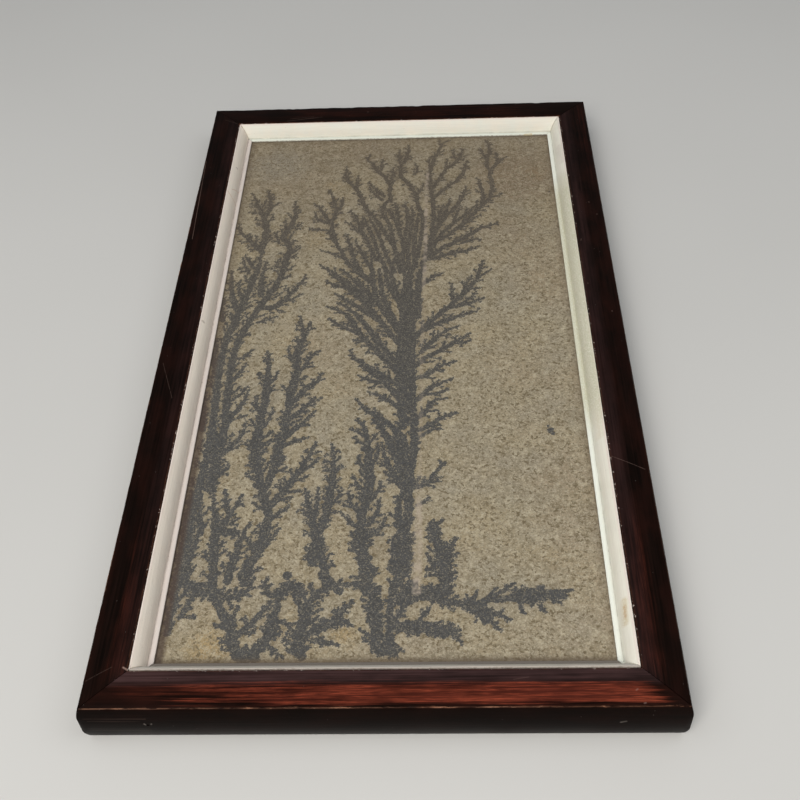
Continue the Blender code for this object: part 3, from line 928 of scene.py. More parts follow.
def slip_section():
    """The slip's outline in the same terms: flat lip, bowed slope, groove, bead and flat foot."""
    outer = RAIL_WIDTH + GAP
    foot = STONE_HEIGHT + GAP
    bead_top = STONE_HEIGHT + BEAD_HEIGHT
    bead_foot = bead_top - GROOVE_DEPTH
    bead_outer = SLIP_INNER - BEAD_WIDTH
    points = [(outer, foot), (outer, ARRIS_HEIGHT)]
    lip_end = (RAIL_WIDTH + SLIP_LIP, ARRIS_HEIGHT)
    points += bowed(lip_end, (bead_outer, bead_top + GROOVE_DEPTH / 2), SLIP_SWELL, 22)
    points.append((bead_outer + GROOVE_DEPTH / 2, bead_foot))
    points += bowed((bead_outer + GROOVE_DEPTH, bead_foot), (SLIP_INNER, bead_foot), GROOVE_DEPTH, 8)
    points.append((SLIP_INNER, foot))
    return points


def strip_points(section, half_run, spacing):
    """Points of a mitred strip, one ring per station, as (along, inward, height)."""
    inward, height = np.array(section).T
    fraction = np.linspace(-1, 1, int(2 * half_run / spacing) + 1)[:, None]
    along = fraction * (half_run - inward - MITRE_CUT)
    return np.stack([along, inward + 0 * along, height + 0 * along], axis=-1)


def section_normals(section):
    """Outward directions at the section's points."""
    run = np.roll(section, -1, axis=0) - np.roll(section, 1, axis=0)
    return np.stack([-run[:, 1], run[:, 0]], axis=1) / np.linalg.norm(run, axis=1)[:, None]


def noise_map(points, size, seed):
    """Smooth noise from 0 to 1 at each point, with lumps of the given size."""
    shift = Vector((seed, seed / 3, -seed))
    flat = points.reshape(-1, 3) / size
    values = [0.5 + 0.5 * noise.noise(Vector(place) + shift) for place in flat]
    return np.array(values).reshape(points.shape[:-1])


def sand_corners(points, half_run):
    """Rounds the bulging sides where two rails meet, as the frame's sanded upright corners."""
    centre_along = half_run + SIDE_BULGE + CORNER_MARGIN - CORNER_RADIUS
    centre_inward = CORNER_RADIUS - SIDE_BULGE - CORNER_MARGIN
    over_along = np.maximum(np.abs(points[..., 0]) - centre_along, 0)
    over_inward = np.maximum(centre_inward - points[..., 1], 0)
    reach = np.hypot(over_along, over_inward)
    pulled = np.where(reach > CORNER_RADIUS, CORNER_RADIUS / np.maximum(reach, MM), 1.0)
    beyond = (over_along > 0) & (over_inward > 0)
    points[..., 0] -= np.where(beyond, np.sign(points[..., 0]) * over_along * (1 - pulled), 0)
    points[..., 1] += np.where(beyond, over_inward * (1 - pulled), 0)


def wear_rail(points, section, side, half_run):
    """Hand-planed waves all over a rail, and a worn, chipped upper outer edge."""
    chance = random.Random(f"wear {side}")
    normals = section_normals(np.array(section))
    waves = RAIL_WAVES * noise_map(points * (1, 2, 2), RAIL_WAVE_SIZE, chance.uniform(*NOISE_SEEDS))
    from_arris = np.hypot(points[..., 1], points[..., 2] - ARRIS_HEIGHT)
    near_arris = np.exp(-(from_arris / ARRIS_WEAR_REACH) ** 2)
    wear = ARRIS_WEAR * noise_map(points * (1, 0, 0), ARRIS_WEAR_SIZE, chance.uniform(*NOISE_SEEDS)) ** 2
    for _ in range(CHIPS_PER_METRE * round(2000 * half_run) // 1000):
        place = chance.uniform(-half_run, half_run)
        length = chance.uniform(*CHIP_LENGTHS) * MM
        depth = chance.uniform(*CHIP_DEPTHS) ** CHIP_DEPTH_POWER * MM
        wear = wear + depth * np.exp(-((points[..., 0] - place) / length) ** 4)
    inset = waves + wear * near_arris
    resting = points[..., 2] < FOOT_RADIUS / 2
    inset = np.where(resting | (points[..., 1] > RAIL_WIDTH - SIGHT_RADIUS / 2), 0, inset)
    points[..., 1] -= inset * normals[:, 0]
    points[..., 2] -= inset * normals[:, 1]
    sand_corners(points, half_run)
    return points


def wear_slip(points, section, side, half_run):
    """Uneven brushed paint on a slip."""
    chance = random.Random(f"paint {side}")
    normals = section_normals(np.array(section))
    lumps = PAINT_LUMPS * noise_map(points * (1, 2, 2), PAINT_LUMP_SIZE, chance.uniform(*NOISE_SEEDS))
    ridges = PAINT_RIDGES * noise_map(points * (0.05, 1, 1), PAINT_RIDGE_SIZE, chance.uniform(*NOISE_SEEDS))
    hidden = (points[..., 1] <= RAIL_WIDTH + GAP) | (points[..., 2] <= STONE_HEIGHT + GAP)
    inset = np.where(hidden, 0, lumps + ridges)
    points[..., 1] -= inset * normals[:, 0]
    points[..., 2] -= inset * normals[:, 1]
    return points


def closed_strip(name, points):
    """A closed mesh through the strip's rings."""
    stations, ring, _ = points.shape
    faces = [tuple(range(ring)), tuple(reversed(range((stations - 1) * ring, stations * ring)))]
    for i in range(stations - 1):
        for j in range(ring):
            k = (j + 1) % ring
            faces.append((i * ring + j, (i + 1) * ring + j, (i + 1) * ring + k, i * ring + k))
    mesh = bpy.data.meshes.new(name)
    mesh.from_pydata(points.reshape(-1, 3).tolist(), [], faces)
    return mesh


def side_matrix(side):
    """From a side's own along, inward and height to the frame's x, y and z."""
    turn, _, half_across = SIDES[side]
    return Matrix.Rotation(turn, 4, "Z") @ Matrix.Translation((0, -half_across, 0))


def keep_vector(mesh, name, values):
    """Keeps a vector for each point of the mesh, for the material to read."""
    layer = mesh.attributes.new(name, "FLOAT_VECTOR", "POINT")
    layer.data.foreach_set("vector", np.asarray(values, np.float32).ravel())


def keep_number(mesh, name, values):
    """Keeps a number for each point of the mesh, for the material to read."""
    layer = mesh.attributes.new(name, "FLOAT", "POINT")
    layer.data.foreach_set("value", np.asarray(values, np.float32).ravel())


def mesh_points(mesh):
    points = np.empty(3 * len(mesh.vertices), np.float32)
    mesh.vertices.foreach_get("co", points)
    return points.reshape(-1, 3)


def dress(obj, slot, *nodes):
    """Hides the CAD nodes that a piece stands for, and hangs the piece from the root body. What it is made
    of, the slot, is not used.
    """
    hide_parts(*nodes)
    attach(obj, "root")


def add_object(name, mesh, material=None):
    obj = bpy.data.objects.new(name, mesh)
    bpy.context.scene.collection.objects.link(obj)
    if material:
        mesh.materials.append(material)
    return obj


def drilled(obj, centre, axis_turn, radius, depth):
    """The object's mesh with a round hole drilled into it."""
    bm = bmesh.new()
    bmesh.ops.create_cone(bm, cap_ends=True, segments=20, radius1=radius, radius2=radius, depth=2 * depth)
    mesh = bpy.data.meshes.new("drill")
    bm.to_mesh(mesh)
    bm.free()
    drill = add_object("drill", mesh)
    drill.matrix_world = Matrix.Translation(centre) @ axis_turn
    cut = obj.modifiers.new("drill", "BOOLEAN")
    cut.operation = "DIFFERENCE"
    cut.solver = "MANIFOLD"
    cut.object = drill
    bpy.context.view_layer.update()
    result = bpy.data.meshes.new_from_object(obj.evaluated_get(bpy.context.evaluated_depsgraph_get()))
    obj.modifiers.clear()
    bpy.data.objects.remove(drill)
    return result


def make_strip(name, section, spacing, wear, side, material):
    """A finished strip along one side of the frame, in place."""
    _, half_run, _ = SIDES[side]
    points = wear(strip_points(section, half_run, spacing), section, side, half_run)
    mesh = closed_strip(name, points)
    mesh.transform(side_matrix(side))
    return add_object(name, mesh, material)


def finish_strip(obj, side, sharp_over):
    """Keeps each point's place along the side for the material, and smooths the shading."""
    to_side = np.array(side_matrix(side).inverted())
    points = mesh_points(obj.data)
    keep_vector(obj.data, "local", points @ to_side[:3, :3].T + to_side[:3, 3])
    obj.data.shade_smooth()
    obj.data.set_sharp_from_angle(angle=sharp_over)


def make_rails():
    for side in SIDES:
        rail = make_strip(f"rail_{side}", rail_section(), RAIL_SPACING, wear_rail, side, lacquer(side))
        if side == "bottom":
            place = (NAIL_HOLE_ALONG, -HALF_LENGTH - SIDE_BULGE, NAIL_HOLE_HEIGHT)
            forward = Matrix.Rotation(math.pi / 2, 4, "X")
            rail.data = drilled(rail, place, forward, NAIL_HOLE_RADIUS, NAIL_HOLE_DEPTH)
        finish_strip(rail, side, RAIL_SHARP_OVER)
        dress(rail, "lacquered_wood", f"frame_rail_{side}")


def make_slips():
    for side in SIDES:
        name = f"painted_slip_{side}"
        slip = make_strip(name, slip_section(), SLIP_SPACING, wear_slip, side, cream_paint(side))
        finish_strip(slip, side, SLIP_SHARP_OVER)
        dress(slip, "cream_paint", f"slip_{side}")


class Paint:
    """The node tree of one material. Its calls take and return sockets, and sizes are in metres."""

    def __init__(self, name):
        self.material = bpy.data.materials.new(name)
        self.material.use_nodes = True
        self.tree = self.material.node_tree
        self.shader = self.tree.nodes["Principled BSDF"]

    def feed(self, socket, value):
        """Links a socket, or sets a plain value."""
        if isinstance(value, bpy.types.NodeSocket):
            self.tree.links.new(value, socket)
        else:
            socket.default_value = value

    def add(self, kind, inputs, **settings):
        node = self.tree.nodes.new(f"ShaderNode{kind}")
        for key, value in settings.items():
            setattr(node, key, value)
        for key, value in inputs.items():
            self.feed(node.inputs[key], value)
        return node

    def math(self, operation, *values):
        return self.add("Math", dict(enumerate(values)), operation=operation).outputs[0]

    def vector(self, operation, *values, output="Vector"):
        node = self.add("VectorMath", dict(enumerate(values)), operation=operation)
        return node.outputs[output]

    def product(self, *values):
        total = values[0]
        for value in values[1:]:
            total = self.math("MULTIPLY", total, value)
        return total

    def most(self, *values):
        total = values[0]
        for value in values[1:]:
            total = self.math("MAXIMUM", total, value)
        return total

    def axes(self, place):
        return self.add("SeparateXYZ", {0: place}).outputs

    def own_place(self):
        """The point's place in its own object."""
        return self.add("TexCoord", {}).outputs["Object"]

    def moved(self, place, x, y, z):
        return self.vector("ADD", place, (x, y, z))

    def kept(self, name, output="Fac"):
        """A value that the mesh carries for each point."""
        return self.add("Attribute", {}, attribute_name=name).outputs[output]

    def remap(self, value, low, high, to_low=0.0, to_high=1.0, kind="LINEAR"):
        inputs = {0: value, 1: low, 2: high, 3: to_low, 4: to_high}
        return self.add("MapRange", inputs, interpolation_type=kind).outputs[0]

    def noise(self, place, size, detail=2.0, roughness=0.5, distortion=0.0):
        """Noise from 0 to 1 with lumps of a size, which may differ along each axis."""
        sizes = size if isinstance(size, tuple) else (size, size, size)
        scaled = self.vector("DIVIDE", place, sizes)
        inputs = {"Vector": scaled, "Scale": 1.0, "Detail": detail, "Roughness": roughness,
                  "Distortion": distortion}
        return self.add("TexNoise", inputs).outputs[0]

    def cells(self, place, size):
        """(distance from each cell's middle in cells, a random number for each cell)"""
        scaled = self.vector("DIVIDE", place, (size, size, size))
        node = self.add("TexVoronoi", {"Vector": scaled, "Scale": 1.0})
        return node.outputs["Distance"], self.axes(node.outputs["Color"])[0]

    def mix(self, factor, first, second):
        return self.add("Mix", {0: factor, 6: first, 7: second}, data_type="RGBA").outputs[2]

    def tint(self, colour, shade, value, low, high, most=1.0, kind="LINEAR"):
        """The colour, mixed with up to this much of the shade as the value goes from low to high."""
        return self.mix(self.remap(value, low, high, 0.0, most, kind), colour, shade)

    def swung(self, noise, swing):
        """Wanders with a noise by half the swing to either side of 0."""
        return self.product(self.math("SUBTRACT", noise, 0.5), swing)

    def uneven(self, value, noise, swing):
        return self.math("ADD", value, self.swung(noise, swing))

    def streaked(self, value, streaks, start, fade):
        """Rises from 0 at start to 1 a fade further on, sooner in some streaks than in others."""
        return self.remap(self.uneven(value, streaks, 2.4 * fade), start, start + fade, kind="SMOOTHSTEP")

    def stroke(self, place, start, end, width):
        """1 on the line from start to end, falling to 0 at half its width away."""
        run = Vector(end) - Vector(start)
        from_start = self.vector("SUBTRACT", place, tuple(start))
        per_run = tuple(run / run.length_squared)
        along = self.vector("DOT_PRODUCT", from_start, per_run, output="Value")
        along = self.add("Clamp", {0: along}).outputs[0]
        nearest = self.add("VectorMath", {0: tuple(run), "Scale": along}, operation="SCALE").outputs[0]
        apart = self.vector("DISTANCE", from_start, nearest, output="Value")
        return self.remap(apart, width / 2, width / 8)

    def specks(self, place, size, share, radius):
        """1 on small round specks, in the given share of cells of a size."""
        distance, lot = self.cells(place, size)
        return self.product(self.math("LESS_THAN", lot, share), self.remap(distance, radius, radius * 0.6))

    def bump(self, height, depth, under=None):
        """A normal bent by a height from 0 to 1, laid over another normal if there is one."""
        inputs = {"Strength": 1.0, "Distance": depth, "Height": height}
        if under is not None:
            inputs["Normal"] = under
        return self.add("Bump", inputs).outputs[0]

    def finish(self, colour, roughness, normal=None, **constants):
        """Feeds the shader, whose other inputs are named with _ for a blank."""
        self.feed(self.shader.inputs["Base Color"], colour)
        self.feed(self.shader.inputs["Roughness"], roughness)
        if normal is not None:
            self.feed(self.shader.inputs["Normal"], normal)
        for name, value in constants.items():
            self.shader.inputs[name.replace("_", " ")].default_value = value
        return self.material


def lacquer(side):
    """Dark reddish-brown lacquer over wood whose grain runs along the rail."""
    look = RAIL_LOOKS[side]
    paint = Paint(f"lacquered_wood_{side}")
    local = paint.kept("local", "Vector")
    along, inward, height = paint.axes(local)
    place = paint.moved(local, *look["shift"])
    grain = paint.noise(place, (46 * MM, 1.0 * MM, 1.0 * MM), 5.0, 0.62, 0.1)
    fibres = paint.noise(place, (7 * MM, 0.28 * MM, 0.28 * MM), 3.0, 0.6)
    clouds = paint.noise(place, (26 * MM, 9 * MM, 9 * MM), 3.0, 0.55)
    streaks = paint.remap(grain, 0.36, 0.66)
    colour = paint.mix(streaks, LACQUER_BLACK, LACQUER_BROWN)
    colour = paint.mix(paint.product(paint.remap(clouds, 0.42, 0.70), look["redness"]), colour, LACQUER_RED)

    on_top = paint.remap(height, ARRIS_HEIGHT - 1.4 * MM, ARRIS_HEIGHT - 0.3 * MM)
    # Painted light: a reddish glow on the top, standing for light reflected in the lacquer
    painted_glow_colour = paint.mix(paint.remap(fibres, 0.38, 0.64), PAINTED_GLOW_DARK, PAINTED_GLOW_BRIGHT)
    painted_glow_colour = paint.mix(paint.remap(grain, 0.40, 0.62), PAINTED_GLOW_DARK, painted_glow_colour)
    # Painted sheen: a violet band on the inner part of the top, standing for a reflection in the lacquer
    painted_sheen = paint.product(paint.remap(inward, 9 * MM, 13 * MM), on_top, look["painted_sheen"])
    patchy = paint.remap(clouds, 0.30, 0.60, 0.5, 1.0)
    painted_sheen = paint.product(painted_sheen, patchy, paint.remap(grain, 0.35, 0.62, 0.45, 1.1))
    colour = paint.mix(painted_sheen, colour, LACQUER_PAINTED_SHEEN)
    slanted = paint.math("ADD", along, paint.product(inward, look["slant"]))
    for low, high, fades, strength in look["painted_glows"]:
        (start, outer), (end, inner), (rise, fall) = metres(*low), metres(*high), metres(*fades)
        glow = paint.product(
            paint.remap(clouds, 0.34, 0.54, 0.45, 1.0),
            paint.streaked(slanted, grain, start, rise),
            paint.streaked(slanted, grain, end, -fall),
            paint.streaked(inward, grain, outer - PAINTED_GLOW_BLUR, 2 * PAINTED_GLOW_BLUR),
            paint.streaked(inward, grain, inner + PAINTED_GLOW_BLUR, -2 * PAINTED_GLOW_BLUR),
        )
        colour = paint.mix(paint.product(glow, on_top, strength), colour, painted_glow_colour)

    flat_top = paint.vector("MULTIPLY", local, (1.0, 1.0, 0.0))
    for start, end, width, strength in look["scratches"]:
        line = paint.stroke(flat_top, metres(*start, 0), metres(*end, 0), width * MM)
        broken = paint.remap(fibres, 0.30, 0.52)
        colour = paint.mix(paint.product(line, on_top, broken, strength, 0.5), colour, BARE_SCRATCH)
    front = paint.remap(height, ARRIS_HEIGHT - 0.3 * MM, ARRIS_HEIGHT - 1.0 * MM)
    # Painted shade: the rail's outer face darkened towards black
    painted_shade_front = paint.product(front, paint.remap(inward, 3 * MM, 1 * MM), 0.7)
    colour = paint.mix(painted_shade_front, colour, LACQUER_BLACK)
    flat_front = paint.vector("MULTIPLY", local, (1.0, 0.0, 1.0))
    outside = paint.math("LESS_THAN", inward, 2 * MM)
    for start, end, width, strength, paler in look["front_marks"]:
        ends = metres(start[0], 0, start[1]), metres(end[0], 0, end[1])
        line = paint.stroke(flat_front, *ends, width * MM)
        uneven = paint.remap(grain, 0.35, 0.60)
        colour = paint.mix(paint.product(line, front, outside, uneven, strength), colour, paler)

    to_arris = paint.vector("DISTANCE", paint.vector("MULTIPLY", local, (0.0, 1.0, 1.0)),
                            (0.0, 0.2 * MM, ARRIS_HEIGHT - 0.1 * MM), output="Value")
    rubbed = paint.noise(place, (4.5 * MM, 0.8 * MM, 0.8 * MM), 4.0, 0.7)
    worn = paint.remap(rubbed, look["worn_over"], look["worn_over"] + 0.10)
    worn = paint.product(worn, paint.remap(to_arris, 0.75 * MM, 0.25 * MM))
    for *span, strength in look["worn_spans"]:
        low, high = metres(*span)
        span = paint.product(paint.remap(along, low - 4 * MM, low), paint.remap(along, high + 4 * MM, high))
        line = paint.product(paint.remap(to_arris, 0.45 * MM, 0.15 * MM), paint.remap(rubbed, 0.38, 0.50))
        worn = paint.most(worn, paint.product(span, line, strength))
    colour = paint.mix(worn, colour, paint.mix(streaks, BARE_WOOD_DARK, BARE_WOOD))
    rim = paint.product(paint.remap(inward, RAIL_WIDTH - 0.9 * MM, RAIL_WIDTH - 0.4 * MM), on_top,
                        paint.remap(rubbed, 0.40, 0.55), look["rim"])
    colour = paint.mix(rim, colour, BARE_WOOD_DARK)
    drips = paint.noise(paint.moved(place, 0.0, 0.0, 0.4), 1.6 * MM, 3.0, 0.6)
    near_slip = paint.remap(inward, RAIL_WIDTH - 0.8 * MM, RAIL_WIDTH - 0.3 * MM, 0.0, 0.06)
    smears = paint.remap(paint.math("ADD", drips, near_slip), 0.66, 0.70)
    smears = paint.product(smears, paint.math("GREATER_THAN", inward, RAIL_WIDTH - 0.8 * MM))
    colour = paint.mix(paint.product(smears, 0.6), colour, CREAM_PINK)

    dust = paint.specks(place, 3.1 * MM, 0.30, 0.045)
    colour = paint.mix(paint.product(dust, 0.5), colour, DUST)
    film = paint.noise(place, 60 * MM, 3.0, 0.6)
    roughness = paint.remap(film, 0.3, 0.7, 0.24, 0.42)
    roughness = paint.math("ADD", roughness, paint.product(worn, 0.35))
    relief = paint.bump(grain, 0.05 * MM)
    relief = paint.bump(fibres, 0.03 * MM, relief)
    return paint.finish(colour, roughness, relief, Coat_Weight=0.03, Coat_Roughness=0.15,
                        Specular_IOR_Level=0.02, Specular_Tint=LACQUER_SHINE)


def cream_paint(side):
    """Old brushed cream paint, grey in its groove and against the rail."""
    paint = Paint(f"cream_paint_{side}")
    local = paint.kept("local", "Vector")
    _, inward, height = paint.axes(local)
    look = SLIP_LOOKS[side]
    place = paint.moved(local, *look["shift"])
    brush = paint.noise(place, (26 * MM, 0.55 * MM, 0.55 * MM), 4.0, 0.6)
    blotch = paint.noise(place, 9 * MM, 4.0, 0.6)
    fine = paint.noise(place, 0.5 * MM, 3.0, 0.6)
    stains = paint.noise(paint.moved(place, 0.2, 0.0, 0.1), 17 * MM, 3.0, 0.6)
    colour = paint.mix(paint.remap(blotch, 0.35, 0.65), CREAM_WARM, CREAM_COOL)
    # Painted light and shade: each side's paint lightened or darkened by its wash
    colour = paint.mix(look["painted_lighting_strength"], colour, look["painted_lighting"])
    colour = paint.tint(colour, CREAM_OLIVE, stains, 0.50, 0.68, look["tinge"])
    colour = paint.tint(colour, CREAM_GREY, brush, 0.35, 0.65, 0.25)
    slope_edge = paint.uneven(inward, brush, 1.2 * MM)
    # Painted shade: the lower slope mixed towards a pinkish grey, by each side's own share
    painted_slope_shade = paint.remap(slope_edge, RAIL_WIDTH + 2.4 * MM, RAIL_WIDTH + 4.8 * MM)
    colour = paint.mix(paint.product(painted_slope_shade, look["slope"]), colour, CREAM_PINK)
    colour = paint.tint(colour, look["lip"], slope_edge, RAIL_WIDTH + 1.6 * MM, RAIL_WIDTH + 0.9 * MM, 0.6)
    bead_edge = SLIP_INNER - BEAD_WIDTH
    bead = paint.remap(slope_edge, bead_edge - 0.3 * MM, bead_edge + 0.3 * MM)
    colour = paint.mix(paint.product(bead, 0.85), colour, look["bead"])
    rough = paint.noise(place, 1.4 * MM, 3.0, 0.6)
    uneven = paint.swung(rough, 1.6 * MM)
    joint = paint.remap(paint.math("ADD", inward, uneven), RAIL_WIDTH + 0.40 * MM, RAIL_WIDTH + 0.10 * MM)
    colour = paint.mix(paint.product(joint, 0.45), colour, GRIME)
    # Darker along the groove and at the foot next to the stone
    from_groove = paint.math("ABSOLUTE", paint.math("SUBTRACT", inward, bead_edge + GROOVE_DEPTH / 2))
    groove = paint.remap(from_groove, 0.35 * MM, 0.1 * MM)
    colour = paint.mix(paint.product(groove, paint.remap(blotch, 0.3, 0.6, 0.10, 0.40)), colour, GRIME)
    foot = paint.remap(paint.math("ADD", height, uneven), STONE_HEIGHT + 1.0 * MM, STONE_HEIGHT + 0.5 * MM)
    colour = paint.mix(paint.product(foot, 0.7), colour, GRIME)
    flat = paint.vector("MULTIPLY", local, (1.0, 1.0, 0.0))
    for start, end, width, shade, strength in SLIP_STAINS[side]:
        spot = paint.stroke(flat, metres(*start, 0), metres(*end, 0), width * MM)
        colour = paint.mix(paint.product(spot, strength, paint.remap(fine, 0.34, 0.54)), colour, shade)
    pits = paint.specks(place, 1.7 * MM, 0.30, 0.085)
    colour = paint.mix(paint.product(pits, 0.65), colour, PIT)
    roughness = paint.remap(blotch, 0.3, 0.7, 0.60, 0.78)
    relief = paint.bump(brush, 0.08 * MM)
    relief = paint.bump(rough, 0.10 * MM, relief)
    relief = paint.bump(fine, 0.03 * MM, relief)
    return paint.finish(colour, roughness, relief, Specular_IOR_Level=0.25)


def dendrite_stone():
    """Sandy grey-beige stone with dark mineral ferns, a pale vein and a few ochre patches."""
    paint = Paint("dendrite_stone")
    place = paint.kept("local", "Vector")
    x, y, _ = paint.axes(place)
    flat = paint.vector("MULTIPLY", place, (1.0, 1.0, 0.0))
    _, grain_lot = paint.cells(place, 0.9 * MM)
    _, fine_lot = paint.cells(place, 0.5 * MM)
    clumps = paint.noise(place, 2.4 * MM, 4.0, 0.65)
    lumps = paint.noise(place, 1.1 * MM, 3.0, 0.6)
    clouds = paint.noise(place, 22 * MM, 4.0, 0.55)
    drift = paint.noise(paint.moved(place, 0.3, 0.1, 0.0), 45 * MM, 3.0, 0.5)

    colour = paint.mix(paint.remap(clouds, 0.36, 0.64), STONE_GREY, STONE_BEIGE)
    colour = paint.tint(colour, STONE_WARM, drift, 0.45, 0.70, 0.5)
    mottle = paint.noise(place, 5.5 * MM, 4.0, 0.6)
    far_mottle = paint.remap(y, 0.0, 170 * MM, 0.34, 0.60)
    colour = paint.mix(paint.product(paint.remap(mottle, 0.48, 0.66), far_mottle), colour, GRAIN_OLIVE)
    for spot, radius, shade, strength in STONE_PATCHES:
        radius *= MM
        apart = paint.vector("DISTANCE", flat, metres(*spot, 0), output="Value")
        ragged = paint.uneven(apart, clumps, 1.2 * radius)
        colour = paint.tint(colour, shade, ragged, radius, 0.2 * radius, strength, "SMOOTHSTEP")
    pale_lumps = paint.noise(paint.moved(place, 0.2, 0.3, 0.1), 3.2 * MM, 3.0, 0.6)
    colour = paint.tint(colour, STONE_PALE, pale_lumps, 0.50, 0.66, 0.58)
    colour = paint.tint(colour, GRAIN_DARK, grain_lot, 0.25, 1.0, 0.60)
    colour = paint.mix(paint.product(paint.math("GREATER_THAN", fine_lot, 0.75), 0.36), colour, GRAIN_PALE)
    dark_grains = paint.noise(paint.moved(place, 0.1, 0.2, 0.0), 1.6 * MM, 2.0, 0.6)
    colour = paint.tint(colour, GRAIN_OLIVE, dark_grains, 0.55, 0.66, 0.95)
    colour = paint.tint(colour, GRAIN_OLIVE, clumps, 0.55, 0.68, 0.65)
    haze = paint.remap(paint.kept("thicket"), 0.30, 0.85)
    haze_strength = paint.remap(y, 20 * MM, 90 * MM, 0.35, 0.58)
    colour = paint.mix(paint.product(haze, haze_strength), colour, HALO)

    crumble = paint.uneven(paint.swung(lumps, 1.1), fine_lot, 0.55)
    outline = paint.math("ADD", paint.kept("fern"), crumble)
    fern = paint.remap(outline, 0.16, -0.10)
    fern_colour = paint.mix(paint.remap(y, -60 * MM, 150 * MM), FERN_BLUE, FERN_BROWN)
    fern_colour = paint.tint(fern_colour, FERN_DARK, grain_lot, 0.2, 1.0, 0.60)
    speckle = paint.noise(place, 0.7 * MM, 2.0, 0.6)
    fern_colour = paint.tint(fern_colour, STONE_GREY, speckle, 0.50, 0.68, 0.26)
    fleck = paint.product(paint.math("GREATER_THAN", fine_lot, 0.86), 0.34)
    fern_colour = paint.mix(fleck, fern_colour, STONE_GREY)
    colour = paint.mix(paint.product(fern, 0.96), colour, fern_colour)

    ragged = paint.math("ADD", paint.product(lumps, 1.8), paint.product(clumps, 2.6))
    vein = paint.math("ADD", paint.kept("vein"), paint.math("SUBTRACT", ragged, 2.2))
    vein_width = paint.remap(y, -80 * MM, -125 * MM, 1.5, 2.6)
    vein_strength = paint.remap(mottle, 0.40, 0.58, 0.12, 0.72)
    vein_fade = paint.most(paint.remap(y, 40 * MM, 75 * MM, 0.25, 1.0), paint.remap(y, -70 * MM, -120 * MM))
    vein = paint.remap(paint.math("DIVIDE", vein, vein_width), 1.0, 0.3, 0.0, 1.0, "SMOOTHSTEP")
    colour = paint.mix(paint.product(vein, vein_strength, vein_fade), colour, VEIN)

    colour = paint.tint(colour, EDGE_SHADE, y, 40 * MM, 190 * MM, FAR_SHADE)
    edges = [
        paint.remap(paint.math("ABSOLUTE", across), edge - EDGE_SHADE_WIDTH, edge, 0.0, EDGE_SHADE_STRENGTH)
        for across, edge in ((x, WINDOW_X), (y, WINDOW_Y))
    ]
    colour = paint.mix(paint.most(*edges), colour, EDGE_SHADE)
    colour = paint.tint(colour, EDGE_SHADE, y, -WINDOW_Y + 3.0 * MM, -WINDOW_Y + 1.6 * MM, NEAR_SEAM_SHADE)
    # Painted shadow: a dark band along the slab's left edge, stronger towards the near end
    ragged_x = paint.uneven(x, clumps, 2.5 * MM)
    left_painted_shadow = paint.product(paint.remap(ragged_x, -WINDOW_X + 4.2 * MM, -WINDOW_X + 2.4 * MM),
                              paint.remap(y, 60 * MM, -60 * MM, 0.15, 0.75))
    colour = paint.mix(left_painted_shadow, colour, LEFT_PAINTED_SHADOW)

    grit = paint.math("ADD", paint.product(grain_lot, 0.6), paint.product(lumps, 0.8))
    relief = paint.bump(grit, 0.10 * MM)
    relief = paint.bump(fine_lot, 0.03 * MM, relief)
    roughness = paint.remap(grain_lot, 0.0, 1.0, 0.78, 0.95)
    return paint.finish(colour, roughness, relief, Specular_IOR_Level=0.3)


def hardboard():
    """Brown pressed-fibre board."""
    paint = Paint("hardboard")
    place = paint.own_place()
    fibre = paint.noise(place, 0.7 * MM, 5.0, 0.7)
    strands = paint.noise(place, (6 * MM, 0.5 * MM, 3 * MM), 4.0, 0.65, 1.5)
    clouds = paint.noise(place, 30 * MM, 3.0, 0.5)
    colour = paint.mix(paint.remap(fibre, 0.35, 0.65), BOARD_DARK, BOARD_BROWN)
    colour = paint.tint(colour, BOARD_PALE, strands, 0.55, 0.70, 0.5)
    colour = paint.tint(colour, BOARD_DARK, clouds, 0.4, 0.7, 0.35)
    roughness = paint.remap(fibre, 0.3, 0.7, 0.55, 0.75)
    return paint.finish(colour, roughness, paint.bump(fibre, 0.06 * MM), Specular_IOR_Level=0.3)


def dull_steel():
    """Grey steel with a little rust."""
    paint = Paint("dull_steel")
    place = paint.own_place()
    rust = paint.noise(place, 0.8 * MM, 4.0, 0.7)
    colour = paint.mix(paint.remap(rust, 0.55, 0.70), STEEL, RUST)
    roughness = paint.remap(rust, 0.4, 0.7, 0.35, 0.8)
    metallic = paint.remap(rust, 0.55, 0.70, 1.0, 0.3)
    paint.feed(paint.shader.inputs["Metallic"], metallic)
    return paint.finish(colour, roughness, paint.bump(rust, 0.02 * MM))


def pale_floor():
    paint = Paint("pale_floor")
    place = paint.own_place()
    shade = paint.noise(place, 300 * MM, 2.0, 0.5)
    return paint.finish(paint.mix(shade, FLOOR_PALE, FLOOR_PALER), 0.9)


def graded(low, high, dense_low, dense_high, fine, coarse):
    """Places from low to high, a fine step apart inside the dense stretch and coarser outside it."""
    places = [low]
    stretches = ((low, dense_low, coarse), (dense_low, dense_high, fine), (dense_high, high, coarse))
    for start, end, step in stretches:
        count = max(1, round((end - start) / step))
        places += [start + (end - start) * (i + 1) / count for i in range(count)]
    return np.array(places)


def vein_distance(x, y):
    """Distance in millimetres from the pale vein, which runs down the slab in short straight runs."""
    place = np.interp(y / MM, [p[1] for p in reversed(VEIN_COURSE)], [p[0] for p in reversed(VEIN_COURSE)])
    low, high = VEIN_COURSE[-1][1], VEIN_COURSE[0][1]
    beyond = np.maximum(np.maximum(low - y / MM, y / MM - high), 0)
    return np.hypot(x / MM - place, beyond)


